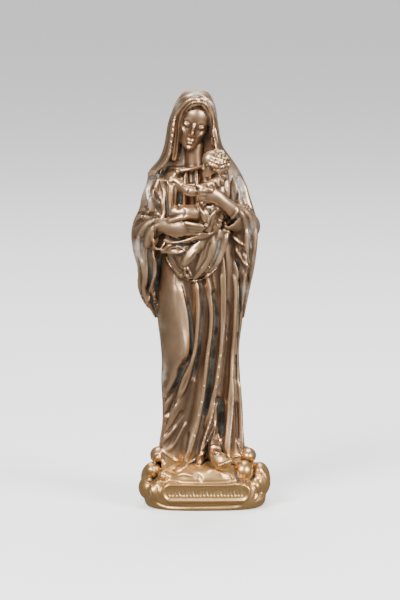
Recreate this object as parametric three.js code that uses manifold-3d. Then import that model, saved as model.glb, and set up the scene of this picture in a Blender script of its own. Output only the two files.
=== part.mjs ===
// A standing mother in a long veil who holds her child on one arm, on a low bank of cloud.
// It is a small figure cast in one piece, so everything is joined into a single solid.
// Units are millimetres and +Z is up. The figure faces -Y, and +X is the viewer's right.
// The origin is on the flat underside, under the middle of the bank of cloud.
import * as THREE from "three";
import { mergeVertices } from "three/addons/utils/BufferGeometryUtils.js";
import Module from "manifold-3d";

const wasm = await Module();
wasm.setup();

// Driving dimensions.
const HEIGHT = 85;
const HEAD_HEIGHT = 10.6;
const HEAD_ROLL = THREE.MathUtils.degToRad(14);
const HEAD_BOW = THREE.MathUtils.degToRad(10);
const HEAD_CENTRE = [-2.1, -0.6, 78.7];
const CHILD_HEAD = { x: 3.1, y: -8.4, z: 71.3, radius: 2.4 };
const PLATE = { x: 0.4, z: 3.9, width: 18.1, height: 3.9, front: -11.4, back: -7, rim: 0.45, sunk: 0.4 };

const BRONZE = new THREE.MeshStandardMaterial({ color: 0x8a6746, roughness: 0.38, metalness: 0.85 });

const clamp01 = (t) => Math.min(1, Math.max(0, t));
const mix = (a, b, t) => a + t * (b - a);
const ease = (t) => clamp01(t) ** 2 * (3 - 2 * clamp01(t));
const signedPower = (value, power) => Math.sign(value) * Math.abs(value) ** power;
const wrap = (t) => ((t % 1) + 1) % 1;

// Rows of [position, value, value, ...], read smoothly at any position from the first to the last.
function track(rows) {
  const slope = (i, k) => {
    const a = rows[Math.max(0, i - 1)];
    const b = rows[Math.min(rows.length - 1, i + 1)];
    return (b[k] - a[k]) / (b[0] - a[0]);
  };
  return (at) => {
    let i = 0;
    while (i < rows.length - 2 && at > rows[i + 1][0]) i++;
    const [a, b] = [rows[i], rows[i + 1]];
    const span = b[0] - a[0];
    const t = clamp01((at - a[0]) / span);
    const [t2, t3] = [t * t, t * t * t];
    return a.slice(1).map((value, n) => {
      const k = n + 1;
      return (
        (2 * t3 - 3 * t2 + 1) * value +
        (t3 - 2 * t2 + t) * span * slope(i, k) +
        (3 * t2 - 2 * t3) * b[k] +
        (t3 - t2) * span * slope(i + 1, k)
      );
    });
  };
}

// A closed geometry as a solid that can be joined and cut.
function solid(geometry) {
  const bare = geometry.index ? geometry.toNonIndexed() : geometry.clone();
  bare.deleteAttribute("normal");
  bare.deleteAttribute("uv");
  const merged = mergeVertices(bare, 1e-4);
  return new wasm.Manifold(
    new wasm.Mesh({
      numProp: 3,
      vertProperties: merged.attributes.position.array,
      triVerts: new Uint32Array(merged.index.array),
    }),
  );
}

const join = (pieces) => pieces.reduce((whole, piece) => whole.add(piece));

// A closed tube: place(around, along, spread) gives each point. The first two run from 0 to 1, and
// spread is 1 on the wall and 0 at the middle of an end.
function tube(columns, rows, place) {
  const geometry = new THREE.CylinderGeometry(1, 1, 1, columns, rows);
  const position = geometry.attributes.position;
  const point = new THREE.Vector3();
  for (let i = 0; i < position.count; i++) {
    point.fromBufferAttribute(position, i);
    const spread = Math.hypot(point.x, point.z) > 0.5 ? 1 : 0;
    const around = spread ? wrap(Math.atan2(point.x, point.z) / (2 * Math.PI)) : 0;
    position.setXYZ(i, ...place(around, point.y + 0.5, spread));
  }
  return solid(geometry);
}

// Cloth that hangs, as a closed form with level sections. rows are [z, left, right, front, back].
// folds are the lines of its ridges and hollows: [rise at the lowest level, rise at the highest,
// angle at each level, ...], with a negative rise for a hollow and angles in degrees from straight
// ahead, positive to the viewer's right. Even pleats fill the back, between the last line and the
// first. Every line is a column of the mesh, with one more between two lines in front.
// swells are [rise, x, z, width, height].
function drape({ rows, along, crowd = 0, power = 2.2, levels, folds, pleats, pleatRise = 0.4, swells = [] }) {
  const section = track(rows);
  const [bottom, top] = [rows[0][0], rows[rows.length - 1][0]];
  const [first, last] = [folds[0], folds[folds.length - 1]];
  const back = Array.from({ length: 2 * pleats - 1 }, (_, i) => {
    const rise = i % 2 ? pleatRise : -pleatRise;
    const t = (i + 1) / (2 * pleats);
    return [rise, rise, ...last.slice(2).map((angle, k) => mix(angle, first[k + 2] + 360, t))];
  });
  const lines = [...folds, ...back].map(([low, high, ...angles]) => {
    const rows = levels.map((z, k) => {
      return [z, mix(low, high, k / (levels.length - 1)), angles[Math.min(k, angles.length - 1)]];
    });
    return track(rows);
  });
  const places = lines.flatMap((_, i) => (i < folds.length - 1 ? [i, i + 0.5] : [i]));
  return tube(places.length, along, (around, v, spread) => {
    const z = mix(bottom, top, 1 - (1 - v) ** (1 + crowd));
    const place = places[Math.round(around * places.length) % places.length];
    const i = Math.floor(place);
    const [riseA, angleA] = lines[i](z);
    const [riseB, angleB] = lines[(i + 1) % lines.length](z);
    const t = place - i;
    const turned = THREE.MathUtils.degToRad(mix(angleA, angleB, t));
    const [left, right, front, rear] = section(z);
    const across = signedPower(Math.sin(turned), 2 / power);
    const ahead = signedPower(Math.cos(turned), 2 / power);
    const x = mix(left, right, 0.5 + (spread * across) / 2);
    const y = mix(rear, front, 0.5 + (spread * ahead) / 2);
    const swell = swells.reduce((sum, [rise, sx, sz, width, height]) => {
      return sum + rise * Math.exp(-(((x - sx) / width) ** 2) - ((z - sz) / height) ** 2);
    }, 0);
    const lift = spread * (mix(riseA, riseB, ease(t)) + swell * ease(0.5 + ahead));
    return [x + lift * Math.sin(turned), y - lift * Math.cos(turned), z];
  });
}

// A rounded limb through points [x, y, z, radius, depth radius], where the second radius is towards
// the viewer and equals the first when it is left out.
function limb(points, { columns = 8, rows = 5 } = {}) {
  const curve = new THREE.CatmullRomCurve3(points.map(([x, y, z]) => new THREE.Vector3(x, y, z)));
  const radius = track(points.map(([, , , r, d = r], i) => [i / (points.length - 1), r, d]));
  const towardsViewer = new THREE.Vector3(0, -1, 0);
  const tipSize = 0.5;
  const tipReach = 0.55;
  const steps = rows + 2;
  return tube(columns, steps, (around, v, spread) => {
    const step = Math.round(v * steps);
    const end = step === 0 ? -1 : step === steps ? 1 : 0;
    const t = clamp01((step - 1) / rows);
    const [across, deep] = radius(t);
    const angle = 2 * Math.PI * around;
    const size = spread * (end ? tipSize : 1);
    const tangent = curve.getTangent(t);
    const side = tangent.clone().cross(towardsViewer).normalize();
    const out = side.clone().cross(tangent);
    return curve
      .getPoint(t)
      .addScaledVector(tangent, end * tipReach * Math.min(across, deep))
      .addScaledVector(side, size * across * Math.sin(angle))
      .addScaledVector(out, size * deep * Math.cos(angle))
      .toArray();
  });
}

// An ellipsoid, turned about X, then Y, then Z.
function ball(centre, radii, { columns = 7, rows = 5, turn = [0, 0, 0] } = {}) {
  const geometry = new THREE.SphereGeometry(1, columns, rows);
  geometry.rotateX(Math.PI / 2);
  geometry.scale(...radii);
  geometry.applyMatrix4(new THREE.Matrix4().makeRotationFromEuler(new THREE.Euler(...turn)));
  geometry.translate(...centre);
  return solid(geometry);
}

// The gown falls from the collar into the cloud, and the knee pushes it forward at the viewer's left.
const GOWN = {
  rows: [
    [4, -9.4, 7.9, -7.2, 6.6],
    [9, -9.7, 8.1, -7.6, 7.0],
    [12.6, -9.5, 7.9, -7.3, 6.9],
    [15.2, -8.3, 7.7, -7.0, 6.7],
    [17.4, -8.7, 7.5, -6.7, 6.6],
    [18.9, -8.1, 7.4, -6.6, 6.5],
    [21.4, -9.0, 7.2, -6.5, 6.4],
    [26, -8.8, 7.0, -6.4, 6.4],
    [32, -8.3, 6.8, -6.4, 6.5],
    [37.7, -9.2, 7.5, -6.5, 6.8],
    [43.5, -9.6, 8.0, -6.6, 7.0],
    [50, -9.9, 8.2, -6.5, 7.1],
    [58, -10.2, 7.6, -5.9, 6.6],
    [64.5, -10.0, 6.6, -5.3, 6.0],
    [67.5, -8.8, 5.2, -4.7, 5.0],
    [69.6, -7.2, 3.4, -4.3, 4.0],
  ],
  levels: [8, 14, 20, 26, 32, 37.7, 43.5, 50, 60],
  folds: [
    [0.2, 0.3, -81, -83, -74, -61, -47, -47, -50, -49, -50],
    [0.5, 0.4, -74, -74, -65, -44, -22, -24, -29, -31, -36],
    [-0.9, -0.6, -66, -67, -54, -34, -14, -12, -15, -18, -24],
    [0.9, 0.5, -55, -61, -40, -23, -7, -2, -1, -9, -14],
    [-0.8, -0.6, -36, -36, -21, -10, 1, 5, 5, -2, -6],
    [0.9, 0.5, -21, -12, -2, 5, 10, 15, 12, 4, 2],
    [-0.8, -0.6, -10, -3, 5, 13, 21, 23, 22, 18, 12],
    [0.7, 0.5, -3, 2, 15, 23, 30, 33, 32, 29, 24],
    [-2.2, 0.1, 7, 9, 22, 31, 39, 39, 38, 36, 34],
    [-2.2, 0.1, 24, 28, 35, 41, 48, 46, 45, 42, 42],
    [0.9, 0.6, 32, 37, 46, 52, 59, 56, 55, 51, 50],
    [-0.7, -0.4, 50, 55, 61, 65, 68, 67, 66, 62, 62],
    [0.5, 0.3, 70, 72, 74, 76, 76, 74, 77, 74, 74],
  ],
  swells: [[1.2, -6.2, 40, 3.0, 9], [0.9, -5.8, 32, 2.6, 3.6]],
  along: 15,
  crowd: -0.25,
  pleats: 1,
};

// The veil covers the head and the shoulders and falls down the back to the cloud. The opening for
// the face is cut from it.
const VEIL = {
  rows: [
    [9, -8.4, 7.3, -0.5, 7.9],
    [20, -7.9, 6.8, 0.0, 7.5],
    [32, -7.8, 6.3, 0.5, 7.2],
    [44, -10.4, 7.9, -0.5, 7.6],
    [54, -12.6, 9.2, -2.4, 7.7],
    [60, -12.8, 9.0, -4.4, 7.6],
    [63.5, -12.4, 8.7, -4.6, 7.4],
    [65.9, -11.6, 8.3, -4.5, 7.0],
    [68.4, -11.0, 7.3, -4.4, 6.5],
    [70.9, -9.3, 5.7, -4.2, 5.8],
    [73.4, -8.3, 3.9, -4.3, 5.6],
    [75.9, -7.8, 3.2, -4.6, 5.5],
    [78.3, -7.4, 2.8, -4.8, 5.4],
    [80.8, -6.5, 2.5, -4.9, 5.1],
    [82.4, -5.8, 2.0, -4.7, 4.6],
    [83.6, -5.0, 1.4, -4.1, 4.1],
    [84.5, -4.1, 0.6, -2.9, 3.2],
    [HEIGHT, -2.6, -0.9, -1.0, 1.6],
  ],
  levels: [9, HEIGHT],
  folds: [-90, -45, 0, 45, 90].map((angle) => [0, 0, angle]),
  along: 14,
  crowd: 0.6,
  power: 2.1,
  pleats: 4,
};
const OPENING = {
  rows: [
    [62, -8.4, 5.4, -9, -3.6],
    [66, -8.6, 5.0, -9, -2.6],
    [68.6, -8.6, 4.2, -9, -1.6],
    [71, -7.4, 3.0, -9, -1.0],
    [74, -6.9, 2.2, -9, -0.6],
    [77, -6.4, 1.9, -9, -0.6],
    [80, -5.8, 1.6, -9, -1.4],
    [82, -4.6, 0.9, -9, -2.8],
    [83, -3.2, 0.0, -9, -3.8],
  ],
  levels: [62, 83],
  folds: [-90, -45, 0, 45, 90].map((angle) => [0, 0, angle]),
  along: 7,
  pleats: 1,
  pleatRise: 0,
};

// Wide sleeves hang to a point at each side. The right arm is at the viewer's left.
const RIGHT_SLEEVE = {
  rows: [
    [38.3, -10.2, -8.6, -0.4, 2.4],
    [40, -11.0, -8.2, -2.4, 3.6],
    [42.4, -12.7, -8.2, -4.0, 4.6],
    [44.9, -13.5, -8.4, -5.0, 5.0],
    [47.6, -13.3, -8.4, -5.8, 5.2],
    [52.3, -14.5, -8.0, -6.6, 5.6],
    [56, -14.9, -7.0, -6.6, 5.9],
    [58.5, -14.4, -6.4, -5.8, 6.0],
    [61, -13.3, -6.0, -5.0, 6.1],
    [63.5, -12.8, -6.0, -4.7, 5.9],
    [66, -11.8, -6.0, -4.0, 5.4],
    [69, -9.8, -6.4, -2.0, 3.8],
  ],
  levels: [38, 46, 52, 58, 66],
  folds: [
    [0.1, 0.1, -78, -78, -76, -70, -60],
    [-0.3, -0.5, -52, -52, -50, -46, -34],
    [0.5, 0.5, -30, -30, -30, -28, -16],
    [-1.0, -0.7, -10, -8, -6, 0, 4],
    [0.5, 0.4, 8, 8, 14, 22, 24],
    [-0.8, -0.3, 30, 28, 36, 44, 46],
    [0, 0, 75, 70, 72, 74, 76],
  ],
  along: 9,
  pleats: 1,
};
const LEFT_SLEEVE = {
  rows: [
    [38.3, 6.6, 7.9, -0.4, 2.6],
    [41, 6.2, 8.4, -2.6, 3.8],
    [44.9, 6.0, 9.2, -4.2, 4.8],
    [49, 5.6, 10.1, -5.4, 5.2],
    [52.3, 5.0, 10.6, -6.6, 5.6],
    [56, 4.4, 10.9, -7.0, 5.9],
    [58.5, 3.9, 10.7, -6.6, 6.0],
    [61, 3.6, 10.0, -5.6, 6.1],
    [63.5, 3.4, 9.2, -4.8, 5.9],
    [66, 3.2, 8.4, -4.2, 5.4],
    [69, 3.0, 6.2, -2.0, 3.8],
  ],
  levels: [38, 46, 52, 58, 66],
  folds: [
    [0, 0, -80],
    [-0.9, -0.3, -44],
    [-1.0, -0.5, -6],
    [0.5, 0.4, 16],
    [-0.4, -0.6, 36],
    [0.5, 0.4, 58],
    [0.1, 0.1, 82],
  ],
  along: 9,
  pleats: 1,
};
const RIGHT_CUFF = [[-12.0, -1.5, 56.4, 2.5, 3.0], [-11.2, -5.2, 56.8, 2.9, 2.4], [-9.3, -8.0, 57.8, 2.3, 1.8]];
const LEFT_CUFF = [[8.2, -1.5, 57.4, 2.5, 3.0], [8.0, -5.4, 58.2, 3.0, 2.4], [6.0, -8.2, 59.8, 2.6, 1.6]];

// The end of the cloak hangs in front under the child, with a rounded lower hem.
const SWAG = {
  rows: [
    [47.4, -3.6, -1.4, -8.0, -4],
    [48.0, -4.8, 0.0, -8.4, -4],
    [49.4, -6.0, 1.8, -8.8, -3],
    [52, -7.2, 3.5, -9.1, -3],
    [56, -7.8, 4.8, -9.2, -3],
    [59, -7.4, 5.0, -8.4, -3],
    [61.4, -6.4, 4.4, -6.2, -3],
  ],
  levels: [47, 62],
  folds: [
    [0.1, 0.4, -78],
    [-0.2, -0.6, -52],
    [0.1, 0.5, -28],
    [-0.5, -0.6, -2],
    [0.4, 0.6, 26],
    [-0.4, -0.8, 48],
    [0.1, 0.5, 74],
  ],
  along: 7,
  pleats: 1,
  pleatRise: 0,
};

function clothing() {
  return join([
    drape(GOWN),
    drape(VEIL).subtract(drape(OPENING)),
    drape(RIGHT_SLEEVE),
    drape(LEFT_SLEEVE),
    limb(RIGHT_CUFF, { rows: 3 }),
    limb(LEFT_CUFF, { rows: 3 }),
    drape(SWAG),
    // The band of the neckline.
    limb([[-6.2, -4.0, 68.8, 0.4], [-2.4, -4.8, 69.5, 0.4], [2.0, -3.9, 69.6, 0.4]], { columns: 5, rows: 4 }),
  ]);
}

// The head is built upright about the middle of the skull, in tenths of its height, then tilted.
const HAIR = [
  [[-0.6, -3.3, 82.0, 0.9, 0.9], [-3.4, -3.8, 81.4, 1.2, 0.8], [-5.3, -2.8, 78.8, 0.8, 1.1],
    [-5.7, -2.0, 75.2, 0.8, 1.3], [-5.9, -2.2, 71.6, 1.1, 1.4], [-7.0, -3.0, 68.4, 1.3, 1.2]],
  [[-1.0, -3.3, 82.0, 0.9, 0.9], [0.5, -3.5, 81.3, 0.9, 0.8], [1.4, -2.6, 78.8, 0.7, 1.0],
    [1.6, -2.0, 75.4, 0.8, 1.2], [1.9, -2.0, 72, 1.0, 1.3], [2.4, -2.8, 68.4, 1.1, 1.2]],
];
function head() {
  const unit = HEAD_HEIGHT / 10;
  const turn = [-HEAD_BOW, HEAD_ROLL, 0];
  const place = (x, y, z) =>
    new THREE.Vector3(x, y, z)
      .multiplyScalar(unit)
      .applyEuler(new THREE.Euler(...turn))
      .add(new THREE.Vector3(...HEAD_CENTRE))
      .toArray();
  const features = [
    // Nose, mouth and eyes.
    limb([[...place(0, -3.6, 0.5), 0.35], [...place(0, -4.3, -1.3), 0.55]], { columns: 6, rows: 2 }),
    ball(place(0, -3.7, -2.7), [0.95, 0.7, 0.4], { columns: 8, rows: 4, turn }),
    ...[-1.35, 1.35].map((x) => ball(place(x, -3.35, 0), [0.75, 0.45, 0.4], { columns: 8, rows: 4, turn })),
  ];
  return join([
    ball(place(0, 0, 1.0), [3.4, 4.0, 3.9], { columns: 12, rows: 8, turn }),
    ball(place(0, -0.8, -2.0), [2.5, 3.2, 3.2], { columns: 10, rows: 7, turn }),
    ball(place(0, 0.7, 1.6), [3.9, 4.2, 4.2], { columns: 12, rows: 8, turn }),
    ...features,
    limb([[-1.9, 0.4, 68.0, 2.4], [-2.1, 0.2, 72, 2.0], [-2.2, 0.2, 76, 2.2]], { rows: 2 }),
    ...HAIR.map((lock) => limb(lock, { columns: 6, rows: 6 })),
  ]);
}

// A bare arm with its palm, and a thumb.
const RIGHT_HAND = [
  [[-10.8, -6.4, 57.6, 1.6], [-8.4, -8.6, 59.2, 1.4, 1.3], [-6.2, -10.0, 59.5, 1.6, 1.1], [-3.8, -10.9, 59.0, 1.5, 0.9]],
  [[-6.4, -10.4, 60.4, 0.7], [-4.2, -11.2, 61.0, 0.55], [-2.1, -11.4, 61.1, 0.4]],
];
const LEFT_HAND = [
  [[7.6, -6.8, 59.2, 1.7], [5.9, -9.2, 61.0, 1.5, 1.3], [3.6, -10.8, 62.8, 1.3, 1.1], [1.2, -11.4, 64.4, 1.6, 0.9]],
  [[1.4, -11.8, 65.5, 0.6], [-0.3, -12.0, 66.2, 0.5], [-1.6, -11.8, 66.4, 0.4]],
];

// Four fingers side by side. knuckles and tips are each a line from the first finger to the last.
function fingers(knuckles, tips, radius) {
  const count = 4;
  const bend = 0.25;
  return Array.from({ length: count }, (_, i) => {
    const between = ([a, b]) => a.map((value, k) => mix(value, b[k], i / (count - 1)));
    const [from, to] = [between(knuckles), between(tips)];
    const middle = from.map((value, k) => (value + to[k]) / 2 - (k === 1 ? bend : 0));
    return limb([[...from, radius], [...middle, radius], [...to, 0.75 * radius]], { columns: 5, rows: 1 });
  });
}

function hands() {
  return join([
    ...[...RIGHT_HAND, ...LEFT_HAND].map((points) => limb(points, { columns: 6, rows: 3 })),
    ...fingers([[-3.4, -11.2, 60.0], [-3.8, -10.8, 57.7]], [[0.7, -12.0, 59.1], [-0.4, -11.2, 57.0]], 0.5),
    ...fingers([[0.9, -12.0, 65.3], [1.5, -11.8, 63.0]], [[-1.1, -11.6, 65.3], [-0.4, -11.4, 62.8]], 0.52),
  ]);
}

// The child sits in profile towards the viewer's left, wrapped from the waist in a cloth.
const CHILD_LIMBS = {
  back: [[3.8, -7.8, 68.6, 1.9], [3.4, -8.4, 65.4, 2.3], [2.7, -8.8, 62.4, 3.0, 2.5], [1.8, -8.7, 59.6, 3.2, 2.6]],
  arm: [[2.6, -9.8, 67.2, 1.3, 1.1], [-0.2, -10.4, 66.0, 1.0], [-2.8, -10.4, 65.4, 1.0], [-4.6, -9.6, 66.5, 0.8],
    [-5.6, -8.8, 67.7, 0.7]],
  thigh: [[0.6, -9.8, 60.8, 1.9], [-2.6, -10.2, 61.4, 1.8], [-5.4, -9.6, 61.4, 1.6]],
  shin: [[-5.4, -9.6, 61.2, 1.5], [-5.8, -9.0, 58.6, 1.2], [-5.6, -8.6, 56.2, 1.0]],
  lowerFoot: [[0.2, -8.2, 57.0, 1.6], [-1.6, -8.9, 54.2, 1.1], [-3.0, -9.2, 52.4, 1.2, 0.9], [-4.6, -9.0, 50.7, 0.7]],
};
const CLOTH_FOLDS = [
  [[-1.4, -10.4, 63.6, 0.6], [0.2, -11.0, 61.4, 0.9], [1.6, -10.8, 58.6, 0.7]],
  [[1.0, -10.6, 63.2, 0.6], [2.8, -10.9, 60.8, 0.9], [3.4, -10.2, 57.8, 0.7]],
  [[-7.4, -8.4, 54.6, 0.6], [-3.6, -9.2, 55.2, 0.8], [-0.4, -9.8, 56.2, 0.8], [3.2, -9.2, 58.4, 0.7]],
  [[-8.2, -7.8, 53.2, 0.6], [-6.4, -8.4, 52.8, 0.8], [-4.6, -8.8, 53.2, 0.6]],
];

// Curls sit in rings round the crown, which is up and to the back of the head.
function curls(centre, reach) {
  const crown = new THREE.Vector3(0.75, -0.2, 0.65).normalize();
  const aside = new THREE.Vector3(0, 1, 0).cross(crown).normalize();
  const up = crown.clone().cross(aside);
  const size = 0.4 * reach;
  const rings = [
    { away: 0, count: 1 },
    { away: 0.74, count: 5 },
    { away: 1.35, count: 7 },
  ];
  return rings.flatMap(({ away, count }) =>
    Array.from({ length: count }, (_, i) => {
      const round = (2 * Math.PI * i) / count + away;
      const seat = centre
        .clone()
        .addScaledVector(crown, reach * Math.cos(away))
        .addScaledVector(aside, reach * Math.sin(away) * Math.cos(round))
        .addScaledVector(up, reach * Math.sin(away) * Math.sin(round));
      return ball(seat.toArray(), [size, size, size], { columns: 5, rows: 3 });
    }),
  );
}

function child() {
  const { x, y, z, radius } = CHILD_HEAD;
  const skull = { columns: 10, rows: 7 };
  return join([
    ball([x, y, z], [radius, radius, 1.05 * radius], skull),
    ball([x - 0.4 * radius, y - 0.1 * radius, z - 0.5 * radius], [0.7 * radius, 0.75 * radius, 0.65 * radius], skull),
    ...curls(new THREE.Vector3(x, y, z), 0.92 * radius),
    ...Object.values(CHILD_LIMBS).map((points) => limb(points, { columns: 6, rows: 3 })),
    ...CLOTH_FOLDS.map((points) => limb(points, { columns: 5, rows: 3 })),
    ball([-6.0, -8.3, 68.2], [0.8, 0.6, 0.7], { columns: 6, rows: 4 }),
  ]);
}

// A foot in a sandal shows under the hem.
function foot() {
  const toes = Array.from({ length: 5 }, (_, i) => {
    const centre = [3.3 + 0.5 * i, -10.2 + 0.1 * i * i, 9.2];
    return ball(centre, [0.36, 0.9, 0.42], { columns: 5, rows: 4 });
  });
  return join([limb([[2.4, -5.0, 10.4, 1.2], [3.2, -7.6, 10.3, 1.4], [4.3, -9.4, 9.2, 1.4, 1.0]], { rows: 3 }), ...toes]);
}

// The bank of cloud is a low slab with puffs round it: [x, y, z, radius in x, in y, in z].
const BANK = {
  rows: [
    [0, -11.6, 11.8, -10.0, 8.8],
    [0.9, -12.3, 12.6, -10.8, 9.6],
    [3, -12.4, 12.7, -11.0, 9.8],
    [5.2, -11.2, 11.6, -10.6, 9.0],
    [7, -9.8, 9.8, -8.6, 8.2],
    [8.4, -7.6, 7.6, -6.6, 6.8],
  ],
  levels: [0, 9],
  folds: [-80, -48, 0, 48, 80].map((angle) => [0, 0, angle]),
  along: 5,
  power: 3.2,
  pleats: 3,
  pleatRise: 0,
};
const PUFFS = [
  [-11.2, -3.6, 3.7, 2.3, 3.2, 2.6],
  [-9.2, -7.2, 3.4, 2.3, 2.6, 2.6],
  [-10.6, -4.6, 7.5, 1.7, 2.2, 1.6],
  [-9.4, -3.2, 10.4, 1.7, 2.4, 1.7],
  [-8.2, -7.4, 6.7, 1.3, 1.4, 1.2],
  [0.2, -6.0, 5.8, 8.8, 4.4, 3.7],
  [8.0, -6.6, 7.6, 2.1, 2.4, 2.2],
  [9.0, -2.2, 10.1, 1.7, 2.6, 1.6],
  [11.4, -3.0, 5.2, 2.2, 4.4, 3.6],
  [10.4, -6.6, 4.4, 1.4, 2.0, 1.8],
  [10.8, 3.6, 4.4, 2.5, 3.8, 3.2],
  [8.0, 5.2, 8.4, 2.4, 2.8, 2.4],
  [3.4, 7.9, 4.8, 4.2, 2.4, 3.8],
  [-4.4, 8.0, 4.4, 4.2, 2.3, 3.4],
  [-10.4, 4.0, 4.4, 2.7, 3.8, 3.2],
  [-7.8, 5.2, 8.8, 2.4, 2.8, 2.2],
];

function bank() {
  const puffs = PUFFS.map(([x, y, z, ...radii]) => ball([x, y, z], radii));
  const below = new THREE.BoxGeometry(60, 60, 20).translate(0, 0, -10);
  return join([drape(BANK), ...puffs]).subtract(solid(below));
}

// The plate has rounded ends, a raised rim, and a row of plain strokes.
const STROKES = { count: 11, pitch: 1.3, width: 0.45, tall: 1.5, short: 1.1, proud: 0.18 };

function roundedBar(width, height, depth) {
  const radius = 0.48 * height;
  const shape = new THREE.Shape();
  shape.absarc(width / 2 - radius, 0, radius, -Math.PI / 2, Math.PI / 2);
  shape.absarc(radius - width / 2, 0, radius, Math.PI / 2, (3 * Math.PI) / 2);
  const bar = new THREE.ExtrudeGeometry(shape, { depth, bevelEnabled: false, curveSegments: 6 });
  return bar.rotateX(Math.PI / 2);
}

function plate() {
  const { x, z, width, height, front, back, rim, sunk } = PLATE;
  const body = roundedBar(width, height, back - front).translate(x, back, z);
  const field = roundedBar(width - 2 * rim, height - 2 * rim, 2).translate(x, front + sunk, z);
  const marks = Array.from({ length: STROKES.count }, (_, i) => {
    const height = i % 3 === 1 ? STROKES.short : STROKES.tall;
    const mark = new THREE.BoxGeometry(STROKES.width, 1, height);
    const across = STROKES.pitch * (i - (STROKES.count - 1) / 2);
    return solid(mark.translate(x + across, front + sunk - STROKES.proud + 0.5, z));
  });
  return join([solid(body).subtract(solid(field)), ...marks]);
}

const cast = join([bank(), foot(), clothing(), head(), child(), hands(), plate()]).getMesh();
const surface = new THREE.BufferGeometry();
surface.setAttribute("position", new THREE.BufferAttribute(new Float32Array(cast.vertProperties), cast.numProp));
surface.setIndex(new THREE.BufferAttribute(new Uint32Array(cast.triVerts), 1));
surface.computeVertexNormals();

const statue = new THREE.Mesh(surface, BRONZE);
statue.name = "madonna_and_child";

const part = new THREE.Group();
part.add(statue);

export default part;
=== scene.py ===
# The looks of a small bronze-finish statuette: a veiled mother with her child on a bank of cloud.
# The figure is sculpted in millimetres from closed forms, fused into one casting, carved with brush
# strokes laid out in the front view, and brought to metres.
import math
import bmesh
import bpy
import numpy as np
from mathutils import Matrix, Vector
from mathutils.bvhtree import BVHTree
from mathutils.kdtree import KDTree


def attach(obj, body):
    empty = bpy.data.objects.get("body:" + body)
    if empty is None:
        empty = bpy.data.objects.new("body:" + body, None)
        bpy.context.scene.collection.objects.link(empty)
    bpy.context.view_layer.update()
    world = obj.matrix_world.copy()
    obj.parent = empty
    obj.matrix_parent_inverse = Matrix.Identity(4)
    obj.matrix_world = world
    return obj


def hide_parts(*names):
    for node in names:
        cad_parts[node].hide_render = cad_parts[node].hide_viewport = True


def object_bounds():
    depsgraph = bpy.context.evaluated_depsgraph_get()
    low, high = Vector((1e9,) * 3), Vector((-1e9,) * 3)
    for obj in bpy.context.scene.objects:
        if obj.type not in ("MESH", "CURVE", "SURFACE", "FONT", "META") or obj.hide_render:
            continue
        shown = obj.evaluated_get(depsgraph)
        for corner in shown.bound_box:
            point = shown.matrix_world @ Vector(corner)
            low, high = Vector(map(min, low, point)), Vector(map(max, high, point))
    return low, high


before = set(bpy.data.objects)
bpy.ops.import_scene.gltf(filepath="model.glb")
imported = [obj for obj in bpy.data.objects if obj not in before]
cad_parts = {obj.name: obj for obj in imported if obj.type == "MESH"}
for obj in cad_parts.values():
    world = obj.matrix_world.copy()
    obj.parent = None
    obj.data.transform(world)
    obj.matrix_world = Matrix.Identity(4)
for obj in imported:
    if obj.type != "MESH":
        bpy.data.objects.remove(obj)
cadLow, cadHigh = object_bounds()
mm = 0.001
rng = np.random.default_rng(7)

casting = dict(
    height=(cadHigh.z - cadLow.z) / mm,
    voxel=0.14,      # grain of the fused form
    triangles=192000,
    viewTilt=math.radians(8),               # how far the front view looks down
)


def ease(t):
    t = np.clip(t, 0, 1)
    return t * t * (3 - 2 * t)


def mix(a, b, t):
    return a + t * (b - a)


def smoothTable(rows):
    # rows of [place, value, value, ...], read smoothly at any place
    rows = np.array(rows, float)
    at, values = rows[:, 0], rows[:, 1:]
    last = len(at) - 1
    before = np.maximum(np.arange(last + 1) - 1, 0)
    after = np.minimum(np.arange(last + 1) + 1, last)
    slopes = (values[after] - values[before]) / (at[after] - at[before])[:, None]

    def read(where):
        where = np.clip(where, at[0], at[-1])
        i = np.clip(np.searchsorted(at, where, side="right") - 1, 0, last - 1)
        span = (at[i + 1] - at[i])[:, None]
        t = (where - at[i])[:, None] / span
        out = t * (1 - t) ** 2 * slopes[i] - t * t * (1 - t) * slopes[i + 1]
        return mix(values[i], values[i + 1], t * t * (3 - 2 * t)) + span * out

    return read


def addShell(body, columns, rows, place):
    # A closed skin rolled from a grid: column 0 is in front, columns go to the viewer's right, rows go up
    shell = bmesh.new()
    bmesh.ops.create_grid(shell, x_segments=columns, y_segments=rows, size=1)
    spots = np.array([vert.co[:] for vert in shell.verts])
    column = np.round((spots[:, 0] + 1) / 2 * columns).astype(int)
    row = np.round((spots[:, 1] + 1) / 2 * rows).astype(int)
    for vert, spot in zip(shell.verts, place(column % columns / columns, row).tolist()):
        vert.co = spot
    mesh = bpy.data.meshes.new("shell")
    shell.to_mesh(mesh)
    shell.free()
    body.from_mesh(mesh)
    bpy.data.meshes.remove(mesh)


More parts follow.
